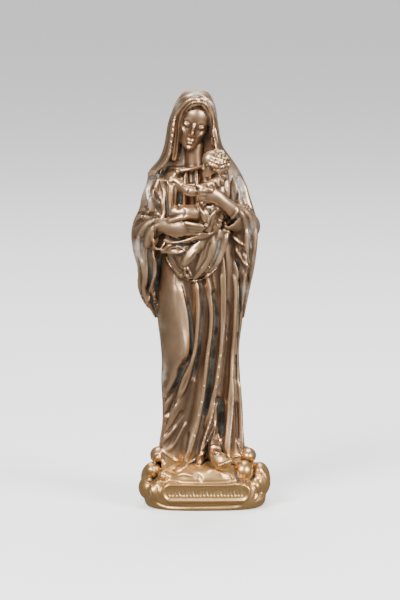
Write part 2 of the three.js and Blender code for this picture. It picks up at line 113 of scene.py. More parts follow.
def drape(body, spec, extra=None):
    # Hanging cloth with level sections. rows are [z, left, right, front, back]; a fold is
    # [rise low down, rise high up, angle at each level, ...], 0 straight ahead, + to the viewer's right
    columns, steps = spec.get("columns", 200), spec.get("steps", 180)
    bottom, top = spec["rows"][0][0], spec["rows"][-1][0]
    levels, folds, pleats = spec["levels"], spec["folds"], spec["pleats"]
    pleatRise, sharp = spec.get("pleatRise", 0.4), spec.get("sharp", 1.4)
    backs = []
    for i in range(2 * pleats - 1):
        rise = pleatRise if i % 2 else -pleatRise
        t = (i + 1) / (2 * pleats)
        backs.append([rise, rise] + [mix(a, b + 360, t) for a, b in zip(folds[-1][2:], folds[0][2:])])
    share = np.linspace(0, 1, len(levels))
    v = np.clip((np.arange(steps + 1) - 1) / (steps - 2), 0, 1)
    heights = mix(bottom, top, 1 - (1 - v) ** (1 + spec.get("crowd", 0)))
    lines = []
    for fold in folds + backs:
        angles = fold[2:] if len(fold) > 3 else fold[2:] * len(levels)
        lines.append(smoothTable([[z, mix(*fold[:2],
         s), a] for z, s, a in zip(levels, share, angles)])(heights))
    lines = np.array(lines)
    sections = smoothTable(spec["rows"])(heights)
    powers = smoothTable(spec.get("powers", [[bottom, 2.2], [top, 2.2]]))(heights)[:, 0]

    def place(around, row):
        spread = np.clip(np.minimum(row, steps - row), 0, 1)
        z, power = heights[row], powers[row]
        at = around * len(lines)
        i = np.floor(at).astype(int) % len(lines)
        t = at - np.floor(at)
        mine, after = lines[i, row], lines[(i + 1) % len(lines), row]
        turned = np.radians(mix(mine[:, 1], after[:, 1] + np.where(i == len(lines) - 1, 360, 0), t))
        # ridges are narrower than the hollows between them
        bell = 0.5 + 0.5 * np.cos(np.pi * np.where(mine[:, 0] > after[:, 0], t, 1 - t))
        rise = mix(np.minimum(mine[:, 0], after[:, 0]), np.maximum(mine[:, 0], after[:, 0]), bell ** sharp)
        left, right, front, back = sections[row].T
        across = np.sign(np.sin(turned)) * np.abs(np.sin(turned)) ** (2 / power)
        ahead = np.sign(np.cos(turned)) * np.abs(np.cos(turned)) ** (2 / power)
        x = mix(left, right, 0.5 + spread * across / 2)
        y = mix(back, front, 0.5 + spread * ahead / 2)
        for swell, sx, sz, width, height in spec.get("swells", []):
            rise = rise + swell * np.exp(-((x - sx) / width) ** 2 - ((z - sz) / height) ** 2) * ease(0.5 + ahead)
        x = x + spread * rise * np.sin(turned)
        y = y - spread * rise * np.cos(turned)
        return np.stack([x, y, z] if extra is None else extra(x, y, z, ahead), axis=1)

    addShell(body, columns, steps, place)


def limb(body, points, columns=28, rows=42, mouth=0.0, toward=(0, -1, 0), ripple=None):
    # A rounded limb through [x, y, z, radius, radius towards the viewer]. mouth hollows its far end
    path = smoothTable([[i / (len(points) - 1), *p[:4],
     p[4] if len(p) > 4 else p[3]] for i, p in enumerate(points)])
    ends = max(4, rows // 7)
    step = np.arange(rows + 1)
    t = np.clip((step - ends) / (rows - 2 * ends), 0, 1)
    spots = path(t)
    tangents = path(np.minimum(t + 0.02, 1))[:, :3] - path(np.maximum(t - 0.02, 0))[:, :3]
    tangents /= np.linalg.norm(tangents, axis=1, keepdims=True)
    sides = np.cross(tangents, toward)
    sides /= np.linalg.norm(sides, axis=1, keepdims=True)
    outs = np.cross(sides, tangents)
    thick = np.minimum(spots[:, 3], spots[:, 4])
    low, high = np.clip(step / ends, 0, 1), np.clip((rows - step) / ends, 0, 1)
    sizes, pushes = np.sin(np.pi / 2 * low), -np.cos(np.pi / 2 * low) * thick
    if mouth:
        sizes = sizes * np.interp(1 - high, [0, 0.2, 0.75, 1], [1, 0.84, 0.75, 0])
        pushes = pushes - np.interp(1 - high, [0, 0.2, 0.75, 1], [0, 0, mouth, mouth])
    else:
        sizes = sizes * np.sin(np.pi / 2 * high)
        pushes = pushes + np.cos(np.pi / 2 * high) * thick

    def place(around, row):
        angle = 2 * np.pi * around
        size = sizes[row]
        if ripple:
            count, depth, twist = ripple
            size = size * (1 + depth * np.cos(count * angle + twist * t[row] * np.pi))
        return (
            spots[row, :3]
            + tangents[row] * pushes[row, None]
            + sides[row] * (size * spots[row, 3] * np.sin(angle))[:, None]
            + outs[row] * (size * spots[row, 4] * np.cos(angle))[:, None]
        )

    addShell(body, columns, rows, place)


def ball(body, centre, radii, turn=None, columns=32, rows=20):
    def place(around, row):
        angle, up = 2 * np.pi * around, np.pi * (row / rows - 0.5)
        spots = np.stack([np.sin(angle) * np.cos(up), -np.cos(angle) * np.cos(up), np.sin(up)], axis=1)
        spots = spots * np.array(radii)
        if turn is not None:
            spots = spots @ np.array(turn).T
        return spots + np.array(centre)

    addShell(body, columns, rows, place)


def brush(flat, strokes):
    # How far strokes lift each point. A stroke is [rise, width, [right, up], ...] in the view's plane, and
    # a width of two values gives an edge: the left-hand side of its travel, then the right-hand side
    rise = np.zeros(len(flat))
    for lift, width, *path in strokes:
        wide = np.array(width if isinstance(width, list) else [width, width], float)
        path = np.array(path, float)
        if len(path) == 2:
            path = np.array([path[0], path.mean(0), path[1]])
        run = np.concatenate([[0], np.cumsum(np.linalg.norm(np.diff(path, axis=0), axis=1))])
        line = smoothTable(np.column_stack([run, path]))(np.linspace(0, run[-1], 8 * len(path)))
        margin = 2.5 * wide.max()
        near = np.flatnonzero((flat > line.min(0) - margin).all(1) & (flat < line.max(0) + margin).all(1))
        if not len(near):
            continue
        spots = flat[near]
        gap, side, along = np.full(len(near), np.inf), np.zeros(len(near)), np.zeros(len(near))
        for k in range(len(line) - 1):
            step = line[k + 1] - line[k]
            size = np.dot(step, step)
            off = spots - line[k]
            t = np.clip(off @ step / size, 0, 1)
            reach = off - t[:, None] * step
            far = np.einsum("ij,ij->i", reach, reach)
            best = far < gap
            gap[best] = far[best]
            side[best] = (step[0] * off[best, 1] - step[1] * off[best, 0])
            along[best] = (k + t[best]) / (len(line) - 1)
        fade = ease(np.minimum(along, 1 - along) * run[-1] / min(1.6, run[-1] / 3))
        rise[near] += lift * fade * np.exp(-gap / np.where(side > 0, wide[0], wide[1]) ** 2)
    return rise


# The gown falls from the collar into the cloud, and the knee pushes it forward at the viewer's left.
gown = dict(
    rows=[
        [4, -9.3, 7.9, -7.2, 6.6], [9, -9.4, 8.1, -7.6, 7.0], [12.6, -9.0, 7.9, -7.3, 6.9],
        [17, -8.4, 7.5, -6.8, 6.6], [22, -8.5, 7.2, -6.5, 6.4], [26, -8.7, 7.0, -6.4, 6.4],
        [32, -8.3, 6.8, -6.4, 6.5], [37.7, -9.2, 7.5, -6.5, 6.8], [43.5, -9.6, 8.0, -6.6, 7.0],
        [50, -9.9, 8.2, -6.5, 7.1], [58, -10.2, 7.6, -5.9, 6.6], [64.5, -10.0, 6.6, -5.3, 6.0],
        [67.5, -8.8, 5.2, -4.7, 5.0], [69.6, -7.2, 3.4, -4.3, 4.0],
    ],
    levels=[8, 14, 20, 26, 32, 37.7, 43.5, 50, 60],
    folds=[
        [0.2, 0.3, -81, -83, -74, -61, -47, -47, -50, -49, -50],
        [0.5, 0.4, -74, -74, -65, -44, -22, -24, -29, -31, -36],
        [-0.9, -0.6, -66, -67, -54, -34, -14, -12, -15, -18, -24],
        [0.9, 0.5, -55, -61, -40, -23, -7, -2, -1, -9, -14],
        [-0.8, -0.6, -36, -36, -21, -10, 1, 5, 5, -2, -6],
        [0.9, 0.5, -21, -12, -2, 5, 10, 15, 12, 4, 2],
        [-0.8, -0.6, -10, -3, 5, 13, 21, 23, 22, 18, 12],
        [0.7, 0.5, -3, 2, 15, 23, 30, 33, 32, 29, 24],
        [-2.2, 0.1, 7, 9, 22, 31, 39, 39, 38, 36, 34],
        [-2.2, 0.1, 24, 28, 35, 41, 48, 46, 45, 42, 42],
        [0.9, 0.6, 32, 37, 46, 52, 59, 56, 55, 51, 50],
        [-0.7, -0.4, 50, 55, 61, 65, 68, 67, 66, 62, 62],
        [0.5, 0.3, 70, 72, 74, 76, 76, 74, 77, 74, 74],
    ],
    swells=[[1.2, -6.2, 40, 3.0, 9], [0.9, -5.8, 32, 2.6, 3.6]],
    pleats=1, columns=416, steps=330, sharp=1.7,
    strokes=[
        # the ridges, from the thigh to the viewer's right
        [0.45, [0.3, 1.3], [-5, 45], [-4.3, 42], [-3.5, 37.9], [-3.3, 34.2], [-3.5, 30.9], [-4.1, 28.9]],
        [0.3, 0.3, [-1.5, 45.4], [-1.3, 41.6], [-1.3, 37.9], [-1.5, 34.4], [-1.9, 31.3], [-2.7, 28.2],
         [-3.3, 25.6], [-4.1, 23.5], [-5.4, 21.1], [-6.6, 18.6], [-7.8, 16], [-8.4, 12.9]],
        [0.3, 0.3, [-0.2, 45.6], [0.6, 43.2], [1.2, 40.5], [1.4, 37.9], [1.2, 34.4], [0.6, 30.3],
         [0.2, 26.2], [-0.2, 22.1], [-0.9, 18.6], [-1.7, 14.9], [-2.5, 11.9], [-3.3, 9.4]],
        [0.3, 0.32, [3.4, 47.3], [3.6, 43.6], [3.6, 39.5], [3.6, 35.4], [3.4, 31.3], [3, 28.2], [2.4, 24.2],
         [1.6, 21.1], [0.8, 18], [-0.2, 14.9]],
        [0.3, 0.32, [5.9, 47.3], [6.3, 43.6], [6.3, 39.5], [6.1, 34.4], [5.7, 30.3], [5.5, 25.2],
         [5.1, 21.1], [4.9, 17], [4.5, 12.9], [4.3, 10.4]],
        [0.3, 0.25, [7.1, 25.2], [7.5, 20.1], [7.7, 14.9], [7.9, 10.8]],
        # the hollows
        [-0.45, 0.3, [-3.5, 42.4], [-2.9, 38.5], [-2.7, 34.4], [-2.9, 30.9], [-3.5, 28]],
        [-0.45, 0.4, [-0.7, 44], [-0.2, 39.9], [-0.5, 35.4], [-0.9, 31.3], [-1.5, 28.2], [-2.3, 24.8]],
        [-0.45, 0.5, [1.8, 44], [2.4, 39.9], [2.2, 34.4], [1.8, 30.3], [1.4, 26.2], [0.8, 22.1], [0, 17.4]],
        [-0.3, 0.35, [4.9, 42], [4.9, 37.5], [4.5, 33]],
        [-0.3, 0.3, [6.9, 46.7], [7.1, 41.6], [6.9, 35.4], [6.5, 29.3], [6.3, 24.2]],
        [-0.6, 0.45, [-4.1, 28.9], [-5.2, 26], [-6.4, 23.3], [-7.8, 21.3], [-8.8, 20.5]],
        [-0.5, 0.4, [-4.5, 22.7], [-5.8, 20.7], [-7, 18.6], [-8.6, 17.8]],
        [-0.4, 0.4, [-4.1, 19.4], [-5.6, 17], [-7, 15.1], [-8.6, 13.7]],
        [-0.35, 0.35, [-3.1, 15.4], [-3.7, 12.3], [-4.1, 9.6]],
        [-0.9, 0.6, [2, 20.1], [3.2, 21.1], [3.4, 16], [3.2, 12.9]],
        [-0.5, 0.4, [6.7, 21.1], [6.9, 16], [6.9, 11.9]],
        # the ends of the sweeping folds, the cloth over the foot and the hem
        [0.4, 0.45, [-5, 27.2], [-6.6, 24.4], [-8, 22.1], [-8.8, 21.1]],
        [0.35, 0.4, [-5.4, 20.7], [-7, 18.4], [-8.4, 16.6]],
        [0.3, 0.35, [-3.5, 17], [-5, 14.1], [-6.4, 11.7], [-7.8, 10.4]],
        [0.3, 0.3, [-5.4, 16.2], [-7.2, 14.1], [-8.6, 12.5], [-9.3, 11.3]],
        [0.35, 0.18, [2.4, 17], [1.6, 14.9], [0.6, 12.9], [-0.5, 10.8]],
        [0.35, 0.18, [2.4, 17], [2, 14.3], [1.4, 11.7]],
        [0.3, 0.2, [2.4, 16.6], [3, 13.7], [3.6, 11.5]],
        [0.3, 0.2, [0.8, 11.1], [1.8, 11.7], [2.8, 11.5], [3.8, 10.8]],
        [0.3, 0.2, [-9, 11.1], [-7.4, 9.8], [-5.4, 8.6], [-4.1, 9]],
        [0.35, 0.2, [-4.1, 9.4], [-3.3, 8.4], [-1.9, 9], [-0.5, 10.2], [0.8, 11.3]],
        [0.3, 0.2, [-2.1, 7.8], [-0.5, 8.6], [1, 10.2]],
        [0.3, 0.2, [4.3, 9.8], [5.7, 9.4], [6.9, 9.6], [7.7, 9.4]],
        [0.3, 0.2, [6.5, 13.5], [7.1, 11.5], [7.7, 9.6]],
    ],
)

# The veil covers the head and the shoulders and falls down the back. Its front is pressed in
# round the face: the opening is [z, left, right, how far back].
veil = dict(
    rows=[
        [9, -8.4, 7.3, -0.5, 7.9], [20, -7.9, 6.8, 0.0, 7.5], [32, -7.8, 6.3, 0.5, 7.2],
        [44, -10.4, 7.9, -0.5, 7.6], [54, -12.6, 9.2, -2.4, 7.7], [60, -12.8, 9.0, -4.4, 7.6],
        [63.5, -12.4, 8.7, -4.8, 7.4], [65.9, -11.8, 8.4, -5.0, 7.0], [68.4, -11.3, 7.3, -5.2, 6.5],
        [70.9, -9.3, 5.7, -5.2, 5.8], [73.4, -8.3, 3.9, -5.2, 5.6], [75.9, -7.8, 3.2, -5.3, 5.5],
        [78.3, -7.4, 2.8, -5.3, 5.4], [80.8, -6.5, 2.5, -5.2, 5.1], [82.4, -5.8, 2.0, -5.0, 4.6],
        [83.6, -5.0, 1.4, -4.7, 4.1], [84.5, -4.1, 0.6, -3.9, 3.2], [casting["height"],
         -2.7, -0.8, -1.8, 1.6],
    ],
    powers=[[9, 2.1], [66, 2.1], [71, 2.7], [80, 2.7], [84, 2.3]],
    levels=[9, casting["height"]],
    folds=[[0, 0, a] for a in (-90, -45, 0, 45, 90)],
    pleats=6, pleatRise=0.5, crowd=0.4, columns=300, steps=330,
    opening=[
        [66.6, -9.6, 4.6, -4.4], [68.0, -10.1, 4.4, -2.6], [69.1, -9.3, 4.0, -1.2], [70.5, -8.0, 3.4, -0.7],
        [72, -7.2, 2.9, -0.4], [74, -6.8, 2.2, -0.2], [77, -6.4, 1.9, -0.2], [79.8, -6.0, 1.8, -0.8],
        [81.2, -5.4, 1.6, -1.8], [82.3, -4.5, 1.2, -2.8], [83.2, -3.2, 0.6, -3.4], [83.9, -1.9, -0.2, -3.8],
    ],
    strokes=[
        [0.25, 0.16, [-6.2, 80.2], [-5.4, 81.7], [-4.1, 82.7], [-2.9, 83.1], [-0.9, 83.1], [0.6, 82.3],
         [1.6, 81.1], [2.2, 79.4], [2.6, 77.2], [3, 74.7], [3.4, 72.9]],
        [-0.2, 0.15, [-5.4, 80], [-4.3, 81.7], [-2.9, 82.5], [-0.9, 82.5], [0.4, 81.7], [1.4, 80]],
        [0.25, 0.2, [-4.5, 80.7], [-5.6, 79.2], [-6, 77.4], [-6.4, 74.9], [-6.6, 72.9], [-7.2, 70.8],
         [-8.2, 69], [-9.5, 67.6]],
        [-0.18, 0.25, [-6.6, 78.8], [-7.2, 76.4], [-7.4, 73.9], [-8, 71.4], [-9.3, 69.4], [-10.7, 67.8]],
        [-0.5, 0.35, [-12.1, 65.9], [-11.3, 66.5], [-10.1, 66.5], [-8.8, 67.1], [-7.4, 68], [-5.8, 68.2]],
        [0.25, 0.3, [-11.9, 66.9], [-10.7, 67.6], [-9.7, 67.1]],
        [0.3, 0.16, [1.6, 77.2], [1.8, 75.1], [1.6, 73.5], [2.4, 72.5]],
        [0.3, 0.16, [2.2, 76.8], [2.4, 74.7], [3, 72.9]],
        [-0.3, 0.15, [2, 77], [2.2, 74.7], [2.6, 73.1]],
    ],
)

# The mantle's front beside the chest, the shoulders and both hanging sleeves.
mantle = dict(
    strokes=[
        [0.35, 0.35, [-9.5, 66.7], [-8.8, 65.3], [-8.4, 63.5]],
        [0.35, 0.6, [-7, 66.5], [-6.8, 63], [-6.8, 60], [-6.8, 58.1]],
        [0.25, 0.25, [-5.8, 64.9], [-5.8, 62], [-6, 59.4]],
        [-0.4, 0.3, [-8, 66.5], [-7.8, 63.7], [-7.6, 60.8], [-7.2, 57.9]],
        [-0.5, 0.45, [-5, 64.1], [-5, 61.4], [-5.4, 59.2]],
        [-0.4, 0.35, [-11.3, 64.3], [-10.5, 62.2], [-9.3, 60.2], [-8.4, 58.5]],
        [-0.35, 0.3, [-10.5, 64.9], [-9.7, 62.8], [-8.6, 60.8]],
        [-0.35, 0.35, [-12.3, 60.8], [-11.3, 59.6], [-9.9, 58.7]],
        [0.3, 0.4, [-11.7, 65.3], [-11.5, 62.8], [-10.9, 60.8]],
        [0.2, 0.3, [-9.9, 64.3], [-8.8, 61.8], [-8.2, 59.8]],
        # the viewer's left elbow and the folds that sweep from it
        [-0.6, 0.35, [-14.2, 59.2], [-12.5, 59.2], [-10.7, 58.7], [-8.8, 58.1]],
        [0.35, 0.3, [-14.6, 57.3], [-13.1, 58.3], [-11.5, 58.5], [-9.7, 58.1], [-8.4, 57.5]],
        [-0.3, 0.22, [-14.4, 56.1], [-12.9, 57.5], [-11.1, 57.9], [-9.7, 57.5]],
        [0.35, 0.32, [-9, 57.5], [-10.7, 57.5], [-12.1, 56.5], [-13.1, 54.7], [-13.6, 52.2], [-13.3, 49.3]],
        [-0.4, 0.28, [-9.7, 57.1], [-11.3, 56.3], [-12.3, 54.5], [-12.7, 52], [-12.5, 48.9]],
        [0.4, 0.4, [-8.8, 56.9], [-10.3, 56.3], [-11.3, 54.5], [-11.7, 51.8], [-11.7, 48.9], [-11.7, 46.1],
         [-11.7, 43.6]],
        [-0.7, 0.4, [-10.5, 53.8], [-10.9, 51], [-10.9, 48.5], [-11.1, 46.1], [-11.5, 43.2]],
        [0.45, 0.2, [-9.5, 56.9], [-10.1, 55.3], [-10.3, 53.2], [-10.5, 51.2], [-10.1, 49.1], [-10.1, 47.1],
         [-10.7, 44.4], [-11.3, 42.2], [-11.7, 40.3]],
        [-0.6, 0.4, [-9.3, 50.8], [-9.3, 47.7], [-9.7, 44.8], [-10.1, 42], [-9.9, 39.5]],
        [0.3, 0.3, [-13.3, 48.9], [-13.3, 45.6], [-12.9, 43.2], [-11.9, 40.9], [-10.7, 39.1]],
        # the viewer's right shoulder and sleeve
        [-0.5, 0.4, [4.7, 66.7], [4.5, 64.7], [4.9, 62.6]],
        [0.3, 0.5, [5.9, 66.5], [5.7, 64.1], [5.5, 62]],
        [-0.35, 0.35, [6.9, 65.7], [6.7, 63.3], [5.9, 61.2]],
        [-0.25, 0.3, [8.1, 63.7], [7.3, 61.8], [6.5, 61]],
        [-0.4, 0.28, [6.7, 61], [7.9, 60.8], [9.4, 60], [10.4, 59]],
        [0.3, 0.28, [6.9, 60.6], [8.1, 60], [9.2, 58.5], [9.8, 56.5]],
        [0.35, 0.32, [7.5, 59.8], [8.1, 57.7], [8.6, 55.3], [8.8, 53]],
        [-0.35, 0.28, [8.8, 59.2], [9.2, 57.1], [9.4, 54.2], [9.4, 51.8]],
        [0.3, 0.3, [9.6, 59.4], [10.2, 57.3], [10.4, 54.5], [10.2, 51.6], [9.6, 48.9]],
        [0.4, 0.25, [6.9, 60.6], [6.5, 59.2], [5.5, 57.9], [4.5, 56.9], [3.4, 56.1]],
        [-0.35, 0.3, [7.3, 59.4], [6.5, 57.7], [5.3, 56.5]],
        [0.3, 0.2, [3.6, 55.7], [5.1, 55.3], [6.3, 54], [7.5, 53], [8.8, 52.4]],
        [0.4, 0.2, [6.1, 52.8], [6.9, 51.2], [8.1, 49.3], [9.6, 47.7]],
        [-0.6, 0.35, [7.3, 52], [8.4, 50.6], [9.6, 48.9]],
        [-0.6, 0.5, [6.3, 50.6], [7.3, 48.5], [8.6, 46.7], [8.8, 44.2]],
    ],
)
rightSleeve = dict(
    rows=[
        [38.3, -10.2, -8.6, -0.4, 2.4], [40, -11.0, -8.2, -2.4, 3.6], [42.4, -12.7, -8.2, -4.0, 4.6],
        [44.9, -13.5, -8.4, -5.0, 5.0], [47.6, -13.3, -8.4, -5.8, 5.2], [52.3, -14.5, -8.0, -6.6, 5.6],
        [56, -14.9, -7.0, -6.6, 5.9], [58.5, -14.4, -6.4, -5.8, 6.0], [61, -13.3, -6.0, -5.0, 6.1],
        [63.5, -12.8, -6.0, -4.7, 5.9], [66, -11.8, -6.0, -4.0, 5.4], [69, -9.8, -6.4, -2.0, 3.8],
    ],
    levels=[38, 46, 52, 58, 66],
    folds=[
        [0.1, 0.1, -78, -78, -76, -70, -60], [-0.3, -0.5, -52, -52, -50, -46, -34],
        [0.5, 0.5, -30, -30, -30, -28, -16], [-1.0, -0.7, -10, -8, -6, 0, 4],
        [0.5, 0.4, 8, 8, 14, 22, 24], [-0.8, -0.3, 30, 28, 36, 44, 46], [0, 0, 75, 70, 72, 74, 76],
    ],
    pleats=2,
)
leftSleeve = dict(
    rows=[
        [38.3, 6.6, 7.9, -0.4, 2.6], [41, 6.2, 8.4, -2.6, 3.8], [44.9, 6.0, 9.2, -4.2, 4.8],
        [49, 5.6, 10.1, -5.4, 5.2], [52.3, 5.0, 10.6, -6.6, 5.6], [56, 4.4, 10.9, -7.0, 5.9],
        [58.5, 3.9, 10.7, -6.6, 6.0], [61, 3.6, 10.0, -5.6, 6.1], [63.5, 3.4, 9.2, -4.8, 5.9],
        [66, 3.2, 8.4, -4.2, 5.4], [69, 3.0, 6.2, -2.0, 3.8],
    ],
    levels=[38, 46, 52, 58, 66],
    folds=[
        [0, 0, -80], [-0.9, -0.3, -44], [-1.0, -0.5, -6], [0.5, 0.4, 16],
        [-0.4, -0.6, 36], [0.5, 0.4, 58], [0.1, 0.1, 82],
    ],
    pleats=2,
)
cuffs = dict(
    right=[[-11.9, -1.5, 56.2, 2.9, 3], [-10.7, -5.6, 56.4, 3.1, 2.4], [-9, -8.2, 56.3, 3.1, 1.9]],
    left=[[8.6, -1.5, 57.5, 2.8, 3], [7.3, -5.6, 59.3, 2.9, 2.4], [5.3, -8.4, 60.3, 2.6, 1.8]],
    mouth=2.2,
)
swag = dict(
    rows=[
        [47.4, -3.6, -1.4, -8.0, -4], [48.0, -4.8, 0.0, -8.4, -4], [49.4, -6.0, 1.8, -8.8, -3],
        [52, -7.2, 3.5, -9.1, -3], [56, -7.8, 4.8, -9.2, -3], [59, -7.4, 5.0, -8.4, -3],
        [61.4, -6.4, 4.4, -6.2, -3],
    ],
    levels=[47, 62],
    folds=[
        [0.1, 0.4, -78], [-0.2, -0.5, -52], [0.1, 0.3, -28], [-0.3, -0.4, -2],
        [0.4, 0.6, 26], [-0.4, -0.8, 48], [0.1, 0.5, 74],
    ],
    pleats=1, pleatRise=0, columns=180, steps=110,
    strokes=[
        [0.4, 0.26, [-8, 51.2], [-7, 49.1], [-6, 47.7], [-4.7, 46.5], [-2.9, 45.6], [-1.1, 45.6],
         [0.6, 46.5], [2, 47.9], [3.2, 49.9], [4.1, 52.2], [4.5, 54.2], [4.9, 55.5]],
        [0.4, 0.33, [2.6, 54.5], [2, 52.6], [1.6, 50.6], [1, 48.5], [-0.2, 46.7]],
        [-0.45, 0.35, [3.4, 54.5], [3, 52.2], [2.2, 49.7], [1, 47.5]],
        [-0.3, 0.25, [1.4, 53.8], [0.8, 51.8], [0.2, 49.7], [-0.9, 47.7]],
        [0.2, 0.35, [0, 53.4], [-0.5, 51], [-1.1, 48.9], [-1.9, 46.9]],
        [-0.3, 0.22, [-6.4, 50.8], [-5.4, 48.5], [-4.3, 47.1]],
        [-0.5, 0.3, [-4.3, 47.9], [-4.5, 46.5]],
        [-0.5, 0.3, [-3.5, 47.7], [-3.3, 46.3]],
        [0.3, 0.16, [-3.9, 48.5], [-4.1, 47.3], [-5, 46.3]],
        [0.3, 0.16, [-3.7, 48.5], [-3.1, 47.3], [-2.3, 46.1]],
    ],
)


def openVeil(x, y, z, ahead):
    left, right, deep = smoothTable(veil["opening"])(z).T
    low, high = veil["opening"][0][0], veil["opening"][-1][0]
    inside = ease(np.minimum(x - left, right - x) / 0.4) * (ahead > 0) * (z > low) * (z < high)
    return [x, mix(y, np.maximum(y, deep), inside), z]


def clothing(body):
    drape(body, gown)
    drape(body, veil, openVeil)
    drape(body, rightSleeve)
    drape(body, leftSleeve)
    limb(body, cuffs["right"], 60, 80, mouth=cuffs["mouth"])
    limb(body, cuffs["left"], 60, 80, mouth=cuffs["mouth"])
    drape(body, swag)
    limb(body, collar["band"], 20, 60)
    ball(body, *collar["knob"])
    print("clothing")


collar = dict(
    band=[[-5.6, -4.4, 69, 0.35], [-2.9, -5, 69.4, 0.36], [0, -4.4, 69.9, 0.35]],
    knob=[[-5.4, -4.9, 68.9], [0.5, 0.5, 0.5]],
    strokes=[[-0.28, 0.13, [-4.4, 67.6], [-4.3, 65.7]], [-0.28, 0.13, [-3.7, 67.6], [-3.6, 65.1]],
     [-0.28, 0.13, [-3, 67.8], [-2.9, 64.9]],
             [-0.28, 0.13, [-2.3, 67.8], [-2.3, 64.9]], [-0.28, 0.13, [-1.6, 67.8], [-1.7, 65.3]],
              [-0.28, 0.13, [-0.9, 68], [-1.1, 65.9]]],
)

# The head has its own frame: the middle of the skull at the origin, in tenths of its height.
head = dict(centre=(-2.1, -0.3, 78.7), height=10.6, roll=14, bow=10)
face = dict(
    rows=[
        # height, half width, front, back
        [-4.95, 0.25, -3.2, -1.6], [-4.6, 1.1, -3.65, -0.6], [-4.0, 1.65, -3.75, 0.6],
        [-3.0, 2.15, -3.65, 1.6], [-2.0, 2.55, -3.6, 2.4], [-1.0, 2.85, -3.55, 3.0], [0, 3.0, -3.5, 3.5],
        [1.0, 3.1, -3.6, 3.9], [2.2, 3.1, -3.55, 4.1], [3.4, 2.75, -3.0, 3.9], [4.3, 2.0, -2.1, 3.2],
        [4.9, 0.8, -0.6, 1.6],
    ],
    # strokes [rise, width, [sideways, up], ...]: one with every point off the middle has a twin
    strokes=[
        [0.16, 0.3, [0.4, 0.6], [1.3, 1.0], [2.4, 0.55]],
        [-0.5, 0.55, [0.75, 0.1], [1.95, 0.08]],
        [0.28, 0.7, [1.6, -1.1], [2.2, -1.6]],
        [0.75, [0.3, 0.3], [0, 0.9], [0, 0.0], [0, -1.2], [0, -2.3]],
        [0.5, 0.34, [0, -1.0], [0, -1.75], [0, -2.5]],
        [0.34, 0.2, [0.3, -1.75], [0.46, -1.95], [0.3, -2.15]],
        [-0.25, 0.16, [-0.5, -2.28], [0, -2.22], [0.5, -2.28]],
        [0.3, 0.55, [-0.9, -3.1], [0, -3.0], [0.9, -3.1]],
        [0.18, 0.14, [-0.8, -3.0], [-0.3, -2.76], [0, -2.84], [0.3, -2.76], [0.8, -3.0]],
        [0.26, 0.18, [-0.6, -3.28], [0, -3.42], [0.6, -3.28]],
        [-0.3, 0.09, [-0.95, -3.08], [0, -3.05], [0.95, -3.08]],
        [-0.2, 0.2, [-0.6, -3.8], [0, -3.85], [0.6, -3.8]],
        [0.32, 0.6, [-0.5, -4.4], [0, -4.45], [0.5, -4.4]],
    ],
    eye=[1.32, -2.88, 0.0, 0.74, 0.55, 0.42],
    lids=[
        [0.2, 0.12, [0.6, -0.1], [0.95, -0.32], [1.4, -0.38], [1.9, -0.2], [2.1, -0.02]],
        [-0.22, 0.1, [0.7, -0.42], [1.35, -0.6], [2.0, -0.35]],
        [-0.16, 0.1, [0.65, 0.25], [1.2, 0.5], [1.95, 0.3]],
    ],
)


def headFrame(centre, height, forward, up):
    # Columns are the viewer's right, straight back and up for a head that faces the viewer
    forward, up = np.array(forward, float), np.array(up, float)
    forward /= np.linalg.norm(forward)
    side = np.cross(up, forward)
    side /= np.linalg.norm(side)
    turn = np.stack([side, -forward, np.cross(forward, side)], axis=1)
    return np.array(centre), turn, height / 10


def twins(strokes):
    # strokes of one half of a face, with their mirror images where they lie off the middle
    flipped = [[s[0], s[1], *([-x, z] for x, z in s[2:])] for s in strokes if all(x > 0 for x, z in s[2:])]
    return strokes + flipped


def headShell(body, placed, spec, columns=260, rows=240):
    centre, turn, unit = placed
    bottom, top = spec["rows"][0][0], spec["rows"][-1][0]
    v = np.clip((np.arange(rows + 1) - 1) / (rows - 2), 0, 1)
    heights = mix(bottom, top, 0.5 - 0.5 * np.cos(np.pi * v))
    sections = smoothTable(spec["rows"])(heights)

    def place(around, row):
        spread = np.clip(np.minimum(row, rows - row), 0, 1)
        half, front, back = sections[row].T
        angle = 2 * np.pi * around
        x, z, ahead = spread * half * np.sin(angle), heights[row], np.cos(angle)
        y = mix(back, front, 0.5 + spread * np.sign(ahead) * np.abs(ahead) ** 0.9 / 2)
        lift = brush(np.stack([x, z], axis=1), twins(spec["strokes"]))
        y = y - spread * lift * ease(ahead * 1.5)
        return centre + unit * np.stack([x, y, z], axis=1) @ turn.T

    addShell(body, columns, rows, place)
    ex, ey, ez, *radii = spec["eye"]
    lids = twins(spec["lids"])

    def lid(around, row):
        angle, up = 2 * np.pi * around, np.pi * (row / 60 - 0.5)
        spots = np.stack([np.sin(angle) * np.cos(up), -np.cos(angle) * np.cos(up), np.sin(up)], axis=1)
        spots = spots * np.array(radii) + np.array([side * ex, ey, ez])
        spots[:, 1] -= brush(spots[:, [0, 2]], lids) * (np.cos(angle) > 0)
        return centre + unit * spots @ turn.T

    for side in (-1, 1):
        addShell(body, 60, 60, lid)


